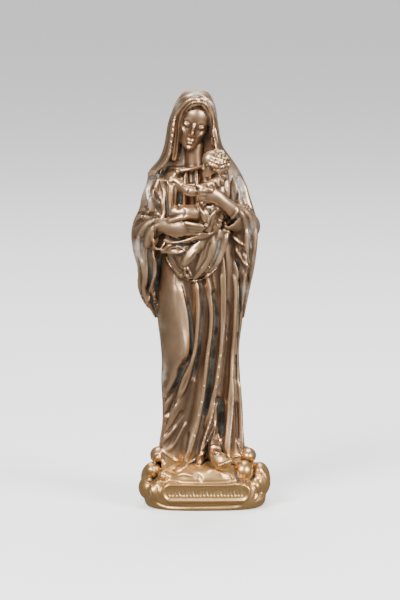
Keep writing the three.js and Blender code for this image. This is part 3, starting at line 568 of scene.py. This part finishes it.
hair = dict(
    locks=[
        [[-0.6, -4.4, 83.2, 0.8], [-2.1, -4.8, 83.2, 1, 0.9], [-3.5, -4.4, 82.5, 1, 0.9],
         [-4.6, -3.2, 81.1, 0.9],
         [-5.3, -1.8, 78.6, 0.8, 1.2], [-5.6, -0.9, 75.2, 0.8, 1.2], [-6.2, -0.6, 71.4, 0.9, 1.2]],
        [[-0.6, -4.4, 83.2, 0.8], [0.4, -4.5, 82.6, 1, 0.9], [1.3, -3.4, 81.1, 0.9],
         [1.7, -2.2, 79.1, 0.7, 1.1],
         [1.8, -1.8, 76.1, 0.7, 1.2], [2.4, -1.8, 73.4, 0.9, 1.2]],
    ],
    strands=(7, 0.12, 1.2),
    strokes=[
        [-0.25, 0.14, [-0.9, 81.9], [-2.3, 81.7], [-3.7, 80.9], [-4.7, 79.6]], [-0.2, 0.12, [-1.3, 81.3],
         [-2.7, 81.1], [-3.9, 80]],
        [-0.25, 0.14, [-0.2, 81.9], [0.8, 80.9], [1.6, 79.4]], [-0.2, 0.12, [-0.2, 81.1], [0.6, 80.2],
         [1, 79]],
        [-0.4, 0.2, [-0.5, 82.3], [-0.5, 81.5]],
    ],
)


def motherHead(body):
    roll, bow = math.radians(head["roll"]), math.radians(head["bow"])
    up = (math.sin(roll), -math.sin(bow) * math.cos(roll), math.cos(roll))
    forward = (0, -math.cos(bow), -math.sin(bow))
    placed = headFrame(head["centre"], head["height"], forward, up)
    headShell(body, placed, face)
    centre, turn, unit = placed
    ball(body, centre + unit * turn @ np.array([0, 0.7, 1.6]), (3.9, 4.1, 4.1), turn)
    limb(body, [[-2.1, -0.6, 68.5, 2.2], [-2.1, -0.8, 71, 1.75], [-2.1, -0.6, 73.9, 2]], 40, 30)
    for lock in hair["locks"]:
        limb(body, lock, 48, 90, ripple=hair["strands"])
    print("head")


hands = dict(
    arms=[
        [[-10.3, -6.2, 57.1, 1.5], [-8.6, -8.6, 58.3, 1.5, 1.3], [-6.8, -9.9, 58.3, 1.75, 1.2],
         [-5, -10.7, 58.1, 1.7, 1],
         [-3.5, -11, 58.1, 1.3, 0.7]],
        [[-6.8, -10.4, 59.5, 0.7], [-5, -11.2, 60.2, 0.55], [-3.3, -11.4, 60.6, 0.48],
         [-1.9, -11.2, 61, 0.4]],
        [[7.9, -6.4, 59.8, 1.8], [5.9, -8.8, 61.5, 1.5, 1.3], [4.1, -10.2, 63.1, 1.3, 1.1],
         [2.2, -11, 64.6, 1.5, 1],
         [0.6, -11.4, 65, 1.5, 0.9]],
        [[1.4, -11.8, 65.9, 0.55], [-0.2, -12, 66.5, 0.5], [-1.5, -11.8, 66.8, 0.4]],
    ],
    # knuckles from the first finger to the last, the same for the joints and the tips, and the radius
    fingers=[
        [[-3.7, -11.3, 59.2], [-4.1, -10.9, 57.1], [-1.7, -11.9, 58.9], [-2.3, -11.3, 57.2],
         [0.4, -11.9, 58.7], [-1.1, -11.2, 57.1], 0.46],
        [[0.6, -11.9, 65.8], [0.6, -11.5, 63.8], [-0.7, -12.3, 65.9], [-0.5, -11.9, 63.6], [-1, -11.6, 65.3],
         [-0.2, -11.4, 63], 0.5],
    ],
    count=4,
)


def bothHands(body):
    for arm in hands["arms"]:
        limb(body, arm, 36)
    for *marks, radius in hands["fingers"]:
        marks = np.array(marks)
        for t in np.linspace(0, 1, hands["count"]):
            start, middle, tip = mix(marks[0::2], marks[1::2], t)
            limb(body, [[*start, radius], [*middle, 0.95 * radius], [*tip, 0.7 * radius]], 20, 36)
    print("hands")


child = dict(
    head=[2.5, -8.4, 71], face=[1.5, -8.9, 71.1], faceHeight=5.2, radius=2.35,
    limbs=[
        [[3.2, -7.6, 68.9, 1.8], [3, -8.2, 65.4, 2.2], [1.8, -8.6, 62.2, 2.6, 2.3],
         [0.6, -8.6, 59.3, 3, 2.4]],
        [[3, -9.6, 67.5, 1.25, 1.2], [0.8, -10.3, 66.6, 0.95], [-1.1, -10.8, 65.9, 0.95],
         [-2.7, -10.9, 65.6, 1.05],
         [-3.9, -10.2, 66.1, 0.9], [-4.7, -9.4, 66.8, 0.7], [-5.7, -8.8, 67.5, 0.7]],
        [[-0.2, -9.2, 61, 1.9], [-2.9, -10.2, 61.2, 1.6], [-5.2, -9.8, 61.2, 1.5], [-5.8, -9.2, 60.6, 1.3]],
        [[-5.6, -9.2, 60.8, 1.5], [-5.8, -8.8, 58.5, 1.2], [-5.6, -8.4, 55.5, 1]],
        [[0, -8.2, 56.3, 1.6], [-1.5, -8.9, 54.2, 1.2], [-2.8, -9.4, 52.4, 1.15, 0.9], [-4, -9.4, 50.8, 0.7]],
    ],
    cloth=[
        [[-1.5, -10.2, 62.6, 0.5], [0, -11, 60.9, 0.9], [0.8, -10.6, 58.3, 0.8]],
        [[3, -9.6, 62.1, 0.6], [1.6, -10.8, 60.8, 0.9], [0.8, -10.4, 57.9, 0.7]],
        [[-8, -8.4, 55.3, 0.4], [-5.6, -9.3, 55.1, 0.6], [-2.5, -9.9, 55.9, 0.6], [0.4, -9.6, 56.6, 0.6],
         [2.6, -8.8, 57.7, 0.5]],
        [[-8.4, -7.9, 53, 0.5, 0.4], [-6.8, -8.7, 53.7, 0.9, 0.5], [-5, -9, 53.6, 0.8, 0.4],
         [-4.1, -9, 53.4, 0.4]],
    ],
    fist=[*[-6.4, -8.7, 67.7], 0.95, 0.6, 0.8],
    curls=84, curlSize=0.4,
    strokes=[
        # the pleated sleeve, the folds of the arm and the hand, and the knee
        [0.3, 0.14, [1.4, 65.5], [2, 64.5], [2.4, 63.5]], [0.3, 0.14, [2.4, 65.9], [3, 64.7], [3.4, 63.7]],
        [0.3, 0.14, [3.4, 66.1], [4.1, 64.9], [4.3, 63.7]], [-0.3, 0.12, [2, 65.7], [2.6, 64.1]],
         [-0.3, 0.12, [3, 66.1], [3.6, 64.1]],
        [-0.35, 0.14, [0.4, 65.3], [0.8, 63.9]], [-0.25, 0.13, [-1.7, 64.7], [-1.5, 63.3]],
         [-0.25, 0.13, [-3.1, 64.3], [-3.5, 62.8]],
        [-0.25, 0.12, [-4.3, 65.1], [-5, 64.1]], [-0.25, 0.12, [-7, 65.3], [-5.8, 65.3]],
         [-0.22, 0.1, [-7.4, 65.9], [-6.4, 65.9]],
        [-0.25, 0.2, [-3.9, 60.2], [-4.1, 58.1]],
        # the wrapping cloth
        [-0.5, 0.25, [-1.7, 60.8], [-1.1, 61.4], [0.4, 61], [2, 60.6]], [0.4, 0.18, [-1.3, 61], [-0.7, 59.8],
         [0, 58.5]],
        [0.35, 0.18, [0, 60.6], [0.4, 59.4], [0.8, 58.1]], [0.4, 0.2, [3, 60.2], [1.8, 59], [1, 57.7],
         [0.6, 56.1]],
        [-0.35, 0.18, [-0.7, 60.8], [0, 59.6]], [-0.35, 0.2, [1.2, 60], [1, 58.7]], [-0.3, 0.2, [-0.5, 57.5],
         [0.2, 55.9]],
        [-1.2, 0.7, [3.4, 59.8], [3.4, 57.5], [2.8, 55.7]],
        # its edge and its hanging corner
        [0.35, 0.2, [-8, 53.6], [-7, 53.2], [-5.4, 53.2], [-3.7, 53.6], [-2.5, 54], [-1.3, 54.7],
         [0.4, 54.9], [1.8, 55.3], [2.6, 55.9]],
        [-0.4, 0.25, [-7.4, 54.2], [-5.4, 53.8], [-3.5, 54.2]], [-0.5, 0.25, [-7.2, 52.6], [-5.8, 52.7],
         [-2.9, 53], [-0.5, 53.8]],
        [0.35, 0.18, [-8.4, 51.4], [-7.2, 52.5], [-5.8, 52.6], [-4.7, 52.2], [-4.1, 51.6], [-5, 51.2],
         [-6.8, 51.1], [-8.4, 51.4]],
        [-0.35, 0.2, [-7, 51.8], [-5.4, 51.8]], [0.25, 0.2, [-1.5, 52], [-2.5, 50.8], [-3.7, 49.3]],
        [-0.2, 0.1, [-4.1, 49.5], [-4.7, 48.9]], [-0.3, 0.2, [-1.1, 51.4], [-1.7, 49.9], [-2.9, 48.5]],
    ],
)


def childFigure(body):
    centre, radius = np.array(child["head"]), child["radius"]
    placed = headFrame(child["face"], child["faceHeight"], (-0.86, -0.5, -0.12), (-0.1, 0, 1))
    headShell(body, placed, face, 140, 130)
    ball(body, centre, (radius, radius, radius))
    crown = np.array([0.8, -0.3, 0.5]) / np.linalg.norm([0.8, -0.3, 0.5])
    golden = math.pi * (3 - math.sqrt(5))
    aside = np.cross([0, 1, 0], crown)
    aside /= np.linalg.norm(aside)
    up = np.cross(crown, aside)
    for i in range(child["curls"]):
        away = math.acos(1 - 1.15 * (i + 0.5) / child["curls"])
        turn = i * golden
        way = math.cos(away) * crown + math.sin(away) * (math.cos(turn) * aside + math.sin(turn) * up)
        size = child["curlSize"] * rng.uniform(0.8, 1.2)
        ball(body, centre + way * radius * rng.uniform(0.98, 1.1), [size] * 3, None, 14, 9)
    for points in child["limbs"] + child["cloth"]:
        limb(body, points)
    x, y, z, *radii = child["fist"]
    ball(body, (x, y, z), radii)
    print("child")


foot = dict(
    instep=[[2, -5.5, 12.6, 1.3], [2.4, -7.6, 11, 1.4], [3.4, -9.2, 10, 1.7, 1.2],
     [4.5, -9.8, 9.6, 1.2, 0.7]],
    toes=5, firstToe=[3, -10.7, 9.6], lastToe=[5.4, -9.4, 10.3], toe=(0.42, 0.8, 0.42),
    strap=[[1.6, -7, 11.9, 0.35], [2.4, -9, 11.8, 0.35], [3.6, -8.6, 11.5, 0.35]],
)
bank = dict(
    rows=[
        [0, -11.6, 11.8, -10.0, 8.8], [0.25, -12.0, 12.2, -10.5, 9.2], [0.9, -12.3, 12.6, -10.8, 9.6],
        [3, -12.4, 12.7, -11.0, 9.8], [5.2, -11.2, 11.6, -10.6, 9.0], [7, -9.8, 9.8, -8.6, 8.2],
        [8.4, -7.6, 7.6, -6.6, 6.8],
    ],
    powers=[[0, 3.2], [9, 2.6]],
    levels=[0, 9], folds=[[0, 0, a] for a in (-80, -48, 0, 48, 80)],
    pleats=3, pleatRise=0, columns=200, steps=70,
    puffs=[
        [-11.2, -3.6, 3.7, 2.3, 3.2, 2.6], [-9.2, -7.2, 3.4, 2.3, 2.6, 2.6],
         [-10.6, -4.6, 7.5, 1.7, 2.2, 1.6],
        [-9.4, -3.2, 10.4, 1.7, 2.4, 1.7], [-8.2, -7.4, 6.7, 1.3, 1.4, 1.2], [0.2, -6.0, 5.8, 8.8, 4.4, 3.7],
        [8.0, -6.6, 7.6, 2.1, 2.4, 2.2], [9.0, -2.2, 10.1, 1.7, 2.6, 1.6], [11.4, -3.0, 5.2, 2.2, 4.4, 3.6],
        [10.4, -6.6, 4.4, 1.4, 2.0, 1.8], [10.8, 3.6, 4.4, 2.5, 3.8, 3.2], [8.0, 5.2, 8.4, 2.4, 2.8, 2.4],
        [3.4, 7.9, 4.8, 4.2, 2.4, 3.8], [-4.4, 8.0, 4.4, 4.2, 2.3, 3.4], [-10.4, 4.0, 4.4, 2.7, 3.8, 3.2],
        [-7.8, 5.2, 8.8, 2.4, 2.8, 2.2],
    ],
    strokes=[
        # leaves and curls of cloud at the viewer's left
        [0.25, 0.16, [-11.1, 8.6], [-10.3, 9.8], [-9, 10.4]], [0.25, 0.16, [-10.7, 8.2], [-9.7, 9.2],
         [-8.6, 9.4]],
        [-0.35, 0.2, [-11.5, 8.2], [-10.3, 8], [-8.6, 8.4]], [-0.35, 0.22, [-8.8, 10.8], [-8.4, 9.2],
         [-8, 7.8]],
        [-0.4, 0.25, [-11.9, 4.7], [-10.7, 4.5], [-9.5, 4.9]], [-0.25, 0.18, [-10.7, 7.6], [-9.9, 6.8],
         [-9.7, 5.3]],
        [-0.3, 0.16, [-9.3, 5.9], [-8.6, 6.3], [-8, 5.7], [-8.4, 4.9], [-9.3, 5.1]],
         [-0.3, 0.22, [-9.5, 4.3], [-9.7, 2.3], [-9, 0.4]],
        [0.25, 0.2, [-12.9, 3.9], [-11.7, 4.3], [-10.7, 3.5], [-10.7, 1.8], [-11.5, 0.6]],
         [-0.3, 0.18, [-11.1, 3.9], [-10.9, 2.3], [-10.3, 1]],
        # and at the right, with the curled puff
        [-0.45, 0.25, [6.1, 7.6], [6.5, 5.9], [7.5, 4.5], [9.4, 4.5]], [-0.35, 0.2, [9.4, 8.4], [10, 6.8],
         [10, 5.1]],
        [0.3, 0.16, [10, 7.6], [11.4, 7.2], [12.4, 5.5], [12.9, 3.3], [12, 1.2], [10.6, 0]],
        [-0.35, 0.18, [10.6, 7], [11.8, 5.9], [12, 3.7], [11.4, 1.6], [10, 0.2]], [0.25, 0.16, [13.1, 5.9],
         [13.3, 3.9], [12.7, 2]],
        [-0.3, 0.2, [9.4, 4.1], [10.4, 3.3], [10.6, 1.6], [9.6, 0.4]], [0.25, 0.18, [10, 6.6], [11, 6.6],
         [11.6, 5.1]],
        # the mound
        [-0.3, 0.25, [-7.6, 7.2], [-5.8, 6.6], [-3.7, 7.2]], [0.25, 0.35, [-6.6, 5.5], [-4.1, 6.1],
         [-1.7, 5.5]],
        [-0.25, 0.3, [-1.7, 6.3], [-0.7, 5.3], [-1.1, 4.3]], [0.3, 0.5, [0.2, 6.8], [2.2, 6.8], [4.5, 5.5]],
        [-0.3, 0.3, [-7.8, 4.5], [-3.9, 4.2], [2.2, 4.2], [6.3, 4.5]], [0.2, 0.2, [4.5, 6.8], [5.5, 5.7],
         [6.1, 4.5]],
        # the band under the plate
        [-0.25, 0.2, [-10.7, 0.8], [-8, -0.4], [-2.9, -0.6], [3.2, -0.5], [8.4, -0.2]], [0.15, 0.2, [-9, -1],
         [-0.9, -1.2], [7.3, -0.8]],
    ],
)
plate = dict(x=0.4, z=3.9, width=18.1, height=3.9, front=-11.2, back=-7, rim=0.3, rimRise=0.34,
             marks=22, pitch=0.7, markHeight=1.7, markWidth=0.13, markDepth=0.3)


def roundedBar(body, width, height, front, back):
    # A bar with round ends, from a disc stretched at its middle
    bar = bmesh.new()
    bmesh.ops.create_circle(bar, cap_ends=True, segments=96, radius=height / 2)
    for vert in bar.verts:
        x, z = vert.co.x, vert.co.y
        vert.co = (plate["x"] + x + math.copysign((width - height) / 2, x), back, plate["z"] + z)
    faces = bmesh.ops.extrude_face_region(bar, geom=bar.faces[:])["geom"]
    moved = [g for g in faces if isinstance(g, bmesh.types.BMVert)]
    bmesh.ops.translate(bar, vec=(0, front - back, 0), verts=moved)
    bmesh.ops.contextual_create(bar, geom=[e for e in bar.edges if e.is_boundary])
    bmesh.ops.recalc_face_normals(bar, faces=bar.faces[:])
    mesh = bpy.data.meshes.new("bar")
    bar.to_mesh(mesh)
    bar.free()
    body.from_mesh(mesh)
    bpy.data.meshes.remove(mesh)


def plateStrokes():
    # a raised rim round the plate, and a row of shallow upright marks that spell nothing
    tilt, cos, sin = casting["viewTilt"], math.cos(casting["viewTilt"]), math.sin(casting["viewTilt"])
    up = plate["z"] * cos + plate["front"] * sin
    half, tall = (plate["width"] - plate["height"]) / 2, (plate["height"] / 2 - 0.3) * cos
    ring = []
    for i in range(25):
        turn = math.pi / 12 * i
        ring.append([plate["x"] + math.copysign(half, math.sin(turn + 1e-6)) + tall * math.sin(turn), up + tall * math.cos(turn)])
    strokes = [[plate["rimRise"], plate["rim"], *ring]]
    for i in range(plate["marks"]):
        x = plate["x"] + (i - (plate["marks"] - 1) / 2) * plate["pitch"]
        lean = (0, 0.16, 0, -0.16)[i % 4]
        reach = plate["markHeight"] / 2
        strokes.append([-plate["markDepth"], plate["markWidth"], [x - lean, up - reach],
         [x + lean, up + reach]])
    return strokes


def ground(body):
    limb(body, foot["instep"], 36)
    limb(body, foot["strap"])
    for t in np.linspace(0, 1, foot["toes"]):
        ball(body, mix(np.array(foot["firstToe"]), np.array(foot["lastToe"]), t), foot["toe"])
    drape(body, bank)
    for x, y, z, *radii in bank["puffs"]:
        ball(body, (x, y, z), radii, None, 60, 40)
    roundedBar(body, plate["width"], plate["height"], plate["front"], plate["back"])
    print("foot, cloud and plate")


# Soft patches of pale dust: [strength, right, up, reach across, reach up] in the front view.
dust = [
    [1.0, -1.7, 84.1, 3.1, 1], [0.7, 1.8, 81.3, 1, 2], [0.5, -5.8, 81.7, 1, 1.6],
     [0.6, -11.1, 63.3, 1.4, 3.3], [0.7, -13.6, 51.8, 1.4, 3.5],
    [0.9, 6.7, 64.5, 1.6, 3.5], [0.5, 9.8, 53.8, 1.2, 3.7], [0.5, 8.1, 43, 1, 2.5],
     [0.6, -8.4, 25.6, 0.8, 3.7], [0.3, -11.9, 64.9, 1, 2],
    [0.4, 2.8, 51.8, 0.8, 2.5], [0.35, -9, 35.4, 0.8, 2.9],
]


def takeModifiers(piece):
    made = bpy.data.meshes.new_from_object(piece.evaluated_get(bpy.context.evaluated_depsgraph_get()))
    old = piece.data
    piece.modifiers.clear()
    piece.data = made
    bpy.data.meshes.remove(old)
    made.name = piece.name
    return piece


def fuse(name, body, voxel):
    # One skin from many forms: a voxel remesh keeps the outside alone
    mesh = bpy.data.meshes.new(name)
    body.to_mesh(mesh)
    body.free()
    piece = bpy.data.objects.new(name, mesh)
    bpy.context.scene.collection.objects.link(piece)
    remesh = piece.modifiers.new("fuse", "REMESH")
    remesh.mode = "VOXEL"
    remesh.voxel_size = voxel
    return takeModifiers(piece)


def readPoints(mesh):
    flat = np.empty(len(mesh.vertices) * 3, np.float32)
    mesh.vertices.foreach_get("co", flat)
    return flat.reshape(-1, 3).astype(float)


def readNormals(mesh):
    flat = np.empty(len(mesh.vertices) * 3, np.float32)
    mesh.vertex_normals.foreach_get("vector", flat)
    return flat.reshape(-1, 3).astype(float)


def writePoints(mesh, points):
    mesh.vertices.foreach_set("co", np.asarray(points, np.float32).ravel())
    mesh.update()


def readEdges(mesh):
    flat = np.empty(len(mesh.edges) * 2, np.int32)
    mesh.edges.foreach_get("vertices", flat)
    return flat.reshape(-1, 2)


def relax(values, edges, share, times):
    # each point moves towards the mean of its neighbours
    count = len(values)
    near = np.maximum(np.bincount(edges.ravel(), minlength=count), 1)[:, None]
    for _ in range(times):
        total = np.empty_like(values)
        for k in range(values.shape[1]):
            total[:, k] = np.bincount(edges[:, 0], values[edges[:, 1], k], count)
            total[:, k] += np.bincount(edges[:, 1], values[edges[:, 0], k], count)
        values = mix(values, total / near, share)
    return values


def dropInside(piece):
    # Sealed hollows leave skins inside the casting: only the largest skin stays
    mesh = piece.data
    edges = readEdges(mesh)
    label = np.arange(len(mesh.vertices))
    while True:
        low = np.minimum(label[edges[:, 0]], label[edges[:, 1]])
        fresh = label.copy()
        np.minimum.at(fresh, edges[:, 0], low)
        np.minimum.at(fresh, edges[:, 1], low)
        fresh = fresh[fresh]
        if (fresh == label).all():
            break
        label = fresh
    keep = label == np.bincount(label).argmax()
    if keep.all():
        return
    work = bmesh.new()
    work.from_mesh(mesh)
    work.verts.ensure_lookup_table()
    bmesh.ops.delete(work, geom=[work.verts[i] for i in np.flatnonzero(~keep)], context="VERTS")
    work.to_mesh(mesh)
    work.free()
    print("dropped", int((~keep).sum()), "points inside")


def frontView(points):
    # right, up and depth of each point as the front view sees it
    cos, sin = math.cos(casting["viewTilt"]), math.sin(casting["viewTilt"])
    flat = np.stack([points[:, 0], points[:, 2] * cos + points[:, 1] * sin], axis=1)
    return flat, points[:, 1] * cos - points[:, 2] * sin


def carve(piece):
    # The strokes lift and sink only what the front view can see
    mesh = piece.data
    edges = readEdges(mesh)
    points = relax(readPoints(mesh), edges, 0.5, 2)
    writePoints(mesh, points)
    normals = relax(readNormals(mesh), edges, 0.8, 4)
    normals /= np.linalg.norm(normals, axis=1, keepdims=True)
    flat, depth = frontView(points)
    cells = np.floor((flat - flat.min(0)) / 0.3).astype(int)
    cell = cells[:, 0] * (cells[:, 1].max() + 1) + cells[:, 1]
    nearest = np.full(cell.max() + 1, np.inf)
    np.minimum.at(nearest, cell, depth)
    seen = ease(1.6 - (depth - nearest[cell]) / 0.7)
    view = np.array([0, -math.cos(casting["viewTilt"]), math.sin(casting["viewTilt"])])
    seen *= ease((normals @ view + 0.35) / 0.5)
    strokes = plateStrokes()
    for part in (gown, veil, mantle, swag, collar, hair, child, bank):
        strokes = strokes + part["strokes"]
    points += normals * (brush(flat, strokes) * seen)[:, None]
    points = relax(points, edges, 0.5, 1)
    points[:, 2] = np.maximum(points[:, 2], 0)
    writePoints(mesh, points)
    print("carved", len(strokes), "strokes")


def measureRelief(mesh):
    # how far each point stands out from its surroundings, close by and further off
    points, edges, normals = readPoints(mesh), readEdges(mesh), readNormals(mesh)
    close = relax(points, edges, 0.8, 7)
    wide = relax(close, edges, 0.8, 34)
    return [((points - smoothed) * normals).sum(1) for smoothed in (close, wide)]


def openSky(mesh, spots, normals):
    # share of short rays that leave the form without meeting it again: 1 is open, 0 is buried. The colour uses it
    # as painted shade, darker where the form hides the light
    tree = BVHTree.FromPolygons(spots.tolist(), [p.vertices[:] for p in mesh.polygons])
    rays, reach, lift = 20, 4.0, 0.03
    turn = np.arange(rays) * math.pi * (3 - math.sqrt(5))
    height = np.sqrt((np.arange(rays) + 0.5) / rays)
    flat = np.sqrt(1 - height ** 2)
    helper = np.where(np.abs(normals[:, 2:3]) < 0.9, [[0, 0, 1.0]], [[1.0, 0, 0]])
    side = np.cross(helper, normals)
    side /= np.linalg.norm(side, axis=1, keepdims=True) + 1e-9
    other = np.cross(normals, side)
    light = np.zeros(len(spots))
    starts = [Vector(s) for s in (spots + normals * lift).tolist()]
    for x, y, z in zip(flat * np.cos(turn), flat * np.sin(turn), height):
        ways = side * x + other * y + normals * z
        hits = [tree.ray_cast(a, Vector(w), reach)[3] for a, w in zip(starts, ways.tolist())]
        light += np.array([1.0 if h is None else (h / reach) ** 0.7 for h in hits])
    return light / rays


def finishSkin(piece):
    mesh = piece.data
    dense = KDTree(len(mesh.vertices))
    for i, point in enumerate(readPoints(mesh).tolist()):
        dense.insert(point, i)
    dense.balance()
    close, wide = measureRelief(mesh)
    print("measured")
    ratio = casting["triangles"] / (2 * len(mesh.polygons))
    if ratio < 1:
        thin = piece.modifiers.new("thin", "DECIMATE")
        thin.ratio = ratio
        takeModifiers(piece)
    mesh = piece.data
    spots, normals = readPoints(mesh), readNormals(mesh)
    found = np.array([dense.find(spot)[1] for spot in spots.tolist()])
    flat, depth = frontView(spots)
    pale = np.zeros(len(spots))
    for strength, x, up, across, tall in dust:
        pale += strength * np.exp(-((flat[:, 0] - x) / across) ** 2 - ((flat[:, 1] - up) / tall) ** 2)
    pale *= ease(0.5 - normals[:, 1])
    # the sky share is stored for the colour's painted shade
    shades = dict(close=close[found], wide=wide[found], sky=openSky(mesh, spots, normals), pale=pale)
    for name, values in shades.items():
        layer = mesh.attributes.new(name, "FLOAT", "POINT")
        layer.data.foreach_set("value", np.asarray(values, np.float32))
    writePoints(mesh, spots * mm)
    for polygon in mesh.polygons:
        polygon.use_smooth = True
    print("finished skin", len(mesh.polygons))


def sculpt():
    body = bmesh.new()
    clothing(body)
    motherHead(body)
    bothHands(body)
    childFigure(body)
    ground(body)
    piece = fuse("madonna_and_child_casting", body, casting["voxel"])
    print("fused", len(piece.data.vertices))
    dropInside(piece)
    carve(piece)
    finishSkin(piece)
    return piece


# the two dark colours are the patina wash in the hollows; where the sky share lays them they are painted shade as
# well
patina = dict(
    bright=(0.62, 0.40, 0.235), brown=(0.20, 0.125, 0.078), darkWashAndShade=(0.018, 0.014, 0.011), green=(0.06, 0.066, 0.055),
    dust=(0.42, 0.43, 0.39), gold=(0.60, 0.36, 0.15),
)


def bronze():
    # Rubbed bronze on what stands out, brown lower down, and a dark grey-green wash in the hollows. The wash and
    # the rubbing also follow how open each point is to the sky, so they also paint shade into hollows and under
    # parts and paint light on open surfaces
    # the material holds the bronze's patina together with painted shade in occluded hollows
    material = bpy.data.materials.new("patinated_bronze")
    material.use_nodes = True
    nodes, links = material.node_tree.nodes, material.node_tree.links
    nodes.clear()
    out = nodes.new("ShaderNodeOutputMaterial")
    shader = nodes.new("ShaderNodeBsdfPrincipled")
    links.new(shader.outputs[0], out.inputs[0])

    def attribute(name):
        node = nodes.new("ShaderNodeAttribute")
        node.attribute_name = name
        return node.outputs["Fac"]

    def maths(kind, a, b=None, c=None):
        node = nodes.new("ShaderNodeMath")
        node.operation = kind
        for slot, value in zip(node.inputs, (a, b, c)):
            if isinstance(value, (int, float)):
                slot.default_value = value
            elif value is not None:
                links.new(value, slot)
        return node.outputs[0]

    def span(value, low, high):
        node = nodes.new("ShaderNodeMapRange")
        node.interpolation_type = "SMOOTHSTEP"
        links.new(value, node.inputs[0])
        node.inputs[1].default_value, node.inputs[2].default_value = low, high
        return node.outputs[0]

    def blend(t, a, b):
        node = nodes.new("ShaderNodeMix")
        node.data_type = "RGBA"
        links.new(t, node.inputs["Factor"])
        for slot, value in ((node.inputs[6], a), (node.inputs[7], b)):
            if isinstance(value, tuple):
                slot.default_value = (*value, 1)
            else:
                links.new(value, slot)
        return node.outputs[2]

    def noise(scale, detail):
        node = nodes.new("ShaderNodeTexNoise")
        links.new(place.outputs["Object"], node.inputs["Vector"])
        node.inputs["Scale"].default_value = scale
        node.inputs["Detail"].default_value = detail
        return node.outputs["Fac"]

    place = nodes.new("ShaderNodeTexCoord")
    cloudy, speck = noise(260, 5), noise(1800, 4)
    close, wide, sky, pale = (attribute(name) for name in ("close", "wide", "sky", "pale"))
    stir = maths("MULTIPLY_ADD", cloudy, 0.4, -0.2)
    grain = maths("MULTIPLY_ADD", speck, 0.2, -0.1)
    standing = maths("ADD", maths("MULTIPLY", close, 9.0), maths("MULTIPLY", wide, 1.6))
    # the sky share here is painted shade: the dark wash spreads where the form hides the light, on top of the real
    # patina in the hollows
    clear = maths("ADD", maths("ADD", sky, maths("MULTIPLY", standing, 0.35)), maths("ADD", stir, grain))
    bareAndLit = span(clear, 0.28, 0.72)
    # the sky share here is painted light: open surfaces get more of the bright bronze, on top of the real rubbing
    # of raised edges
    rubbedAndLit = span(maths("ADD", maths("ADD", standing, stir), maths("MULTIPLY", sky, 0.4)), 0.05, 0.85)
    # the wash colour, which also stands for painted shade in hollows and under parts
    washAndShade = blend(span(cloudy, 0.42, 0.62), patina["darkWashAndShade"], patina["green"])
    metal = blend(rubbedAndLit, patina["brown"], patina["bright"])
    height = nodes.new("ShaderNodeSeparateXYZ")
    links.new(place.outputs["Object"], height.inputs[0])
    metal = blend(span(height.outputs["Z"], 0.013, 0.009), metal, patina["gold"])
    dusty = maths("MULTIPLY", pale, span(maths("ADD", cloudy, grain), 0.35, 0.6))
    colour = blend(dusty, blend(bareAndLit, washAndShade, metal), patina["dust"])
    links.new(colour, shader.inputs["Base Color"])
    links.new(maths("MULTIPLY", maths("MULTIPLY_ADD", bareAndLit, 0.8, 0.15), maths("MULTIPLY_ADD", dusty, -0.7, 1.0)), shader.inputs["Metallic"])
    rough = maths("MULTIPLY_ADD", bareAndLit, -0.22, maths("MULTIPLY_ADD", dusty, 0.15, 0.52))
    links.new(maths("MULTIPLY_ADD", speck, 0.12, rough), shader.inputs["Roughness"])
    bump = nodes.new("ShaderNodeBump")
    bump.inputs["Distance"].default_value = 0.00004
    bump.inputs["Strength"].default_value = 0.5
    links.new(speck, bump.inputs["Height"])
    links.new(bump.outputs[0], shader.inputs["Normal"])
    return material


studio = dict(
    middle=(-0.86, 0, 41.96), distance=900, frameHeight=122.8,
    # place, size, power of each soft light
    lights=[[(-260, -420, 420), 260, 7.0], [(360, -300, 240), 200, 4.0], [(0, 260, 500), 260, 3.0]],
    sky=0.25, floorGlow=0.6,
)


def setStudio():
    scene = bpy.context.scene
    camera = bpy.data.objects.new("camera", bpy.data.cameras.new("camera"))
    scene.collection.objects.link(camera)
    tilt = casting["viewTilt"]
    middle = Vector(studio["middle"]) * mm
    back = Vector((0, -math.cos(tilt), math.sin(tilt)))
    camera.location = middle + back * studio["distance"] * mm
    camera.rotation_euler = (-back).to_track_quat("-Z", "Y").to_euler()
    camera.data.lens = camera.data.sensor_width * studio["distance"] / studio["frameHeight"]
    camera.data.clip_start, camera.data.clip_end = 0.01, 20
    scene.camera = camera
    for i, (spot, size, power) in enumerate(studio["lights"]):
        lamp = bpy.data.lights.new(f"soft_light_{i}", "AREA")
        lamp.shape, lamp.size, lamp.energy = "SQUARE", size * mm, power
        holder = bpy.data.objects.new(lamp.name, lamp)
        scene.collection.objects.link(holder)
        holder.location = Vector(spot) * mm
        holder.rotation_euler = (middle - holder.location).to_track_quat("-Z", "Y").to_euler()
    world = bpy.data.worlds.new("studio")
    scene.world = world
    world.use_nodes = True
    world.node_tree.nodes["Background"].inputs[0].default_value = (1, 1, 1, 1)
    world.node_tree.nodes["Background"].inputs[1].default_value = studio["sky"]
    floorMesh = bpy.data.meshes.new("floor")
    sheet = bmesh.new()
    bmesh.ops.create_grid(sheet, x_segments=1, y_segments=1, size=6)
    sheet.to_mesh(floorMesh)
    sheet.free()
    floor = bpy.data.objects.new("floor", floorMesh)
    floor.location.z = -0.00002
    floor.visible_glossy = False
    scene.collection.objects.link(floor)
    pale = bpy.data.materials.new("pale_floor")
    pale.use_nodes = True
    paint = pale.node_tree.nodes["Principled BSDF"].inputs
    paint["Base Color"].default_value = (0.9, 0.9, 0.9, 1)
    paint["Roughness"].default_value = 0.9
    paint["Emission Color"].default_value = (1, 1, 1, 1)
    paint["Emission Strength"].default_value = studio["floorGlow"]
    floorMesh.materials.append(pale)
    print("studio", scene.view_settings.view_transform)


setStudio()
statue = sculpt()
statue.data.materials.append(bronze())
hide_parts("madonna_and_child")
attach(statue, "root")
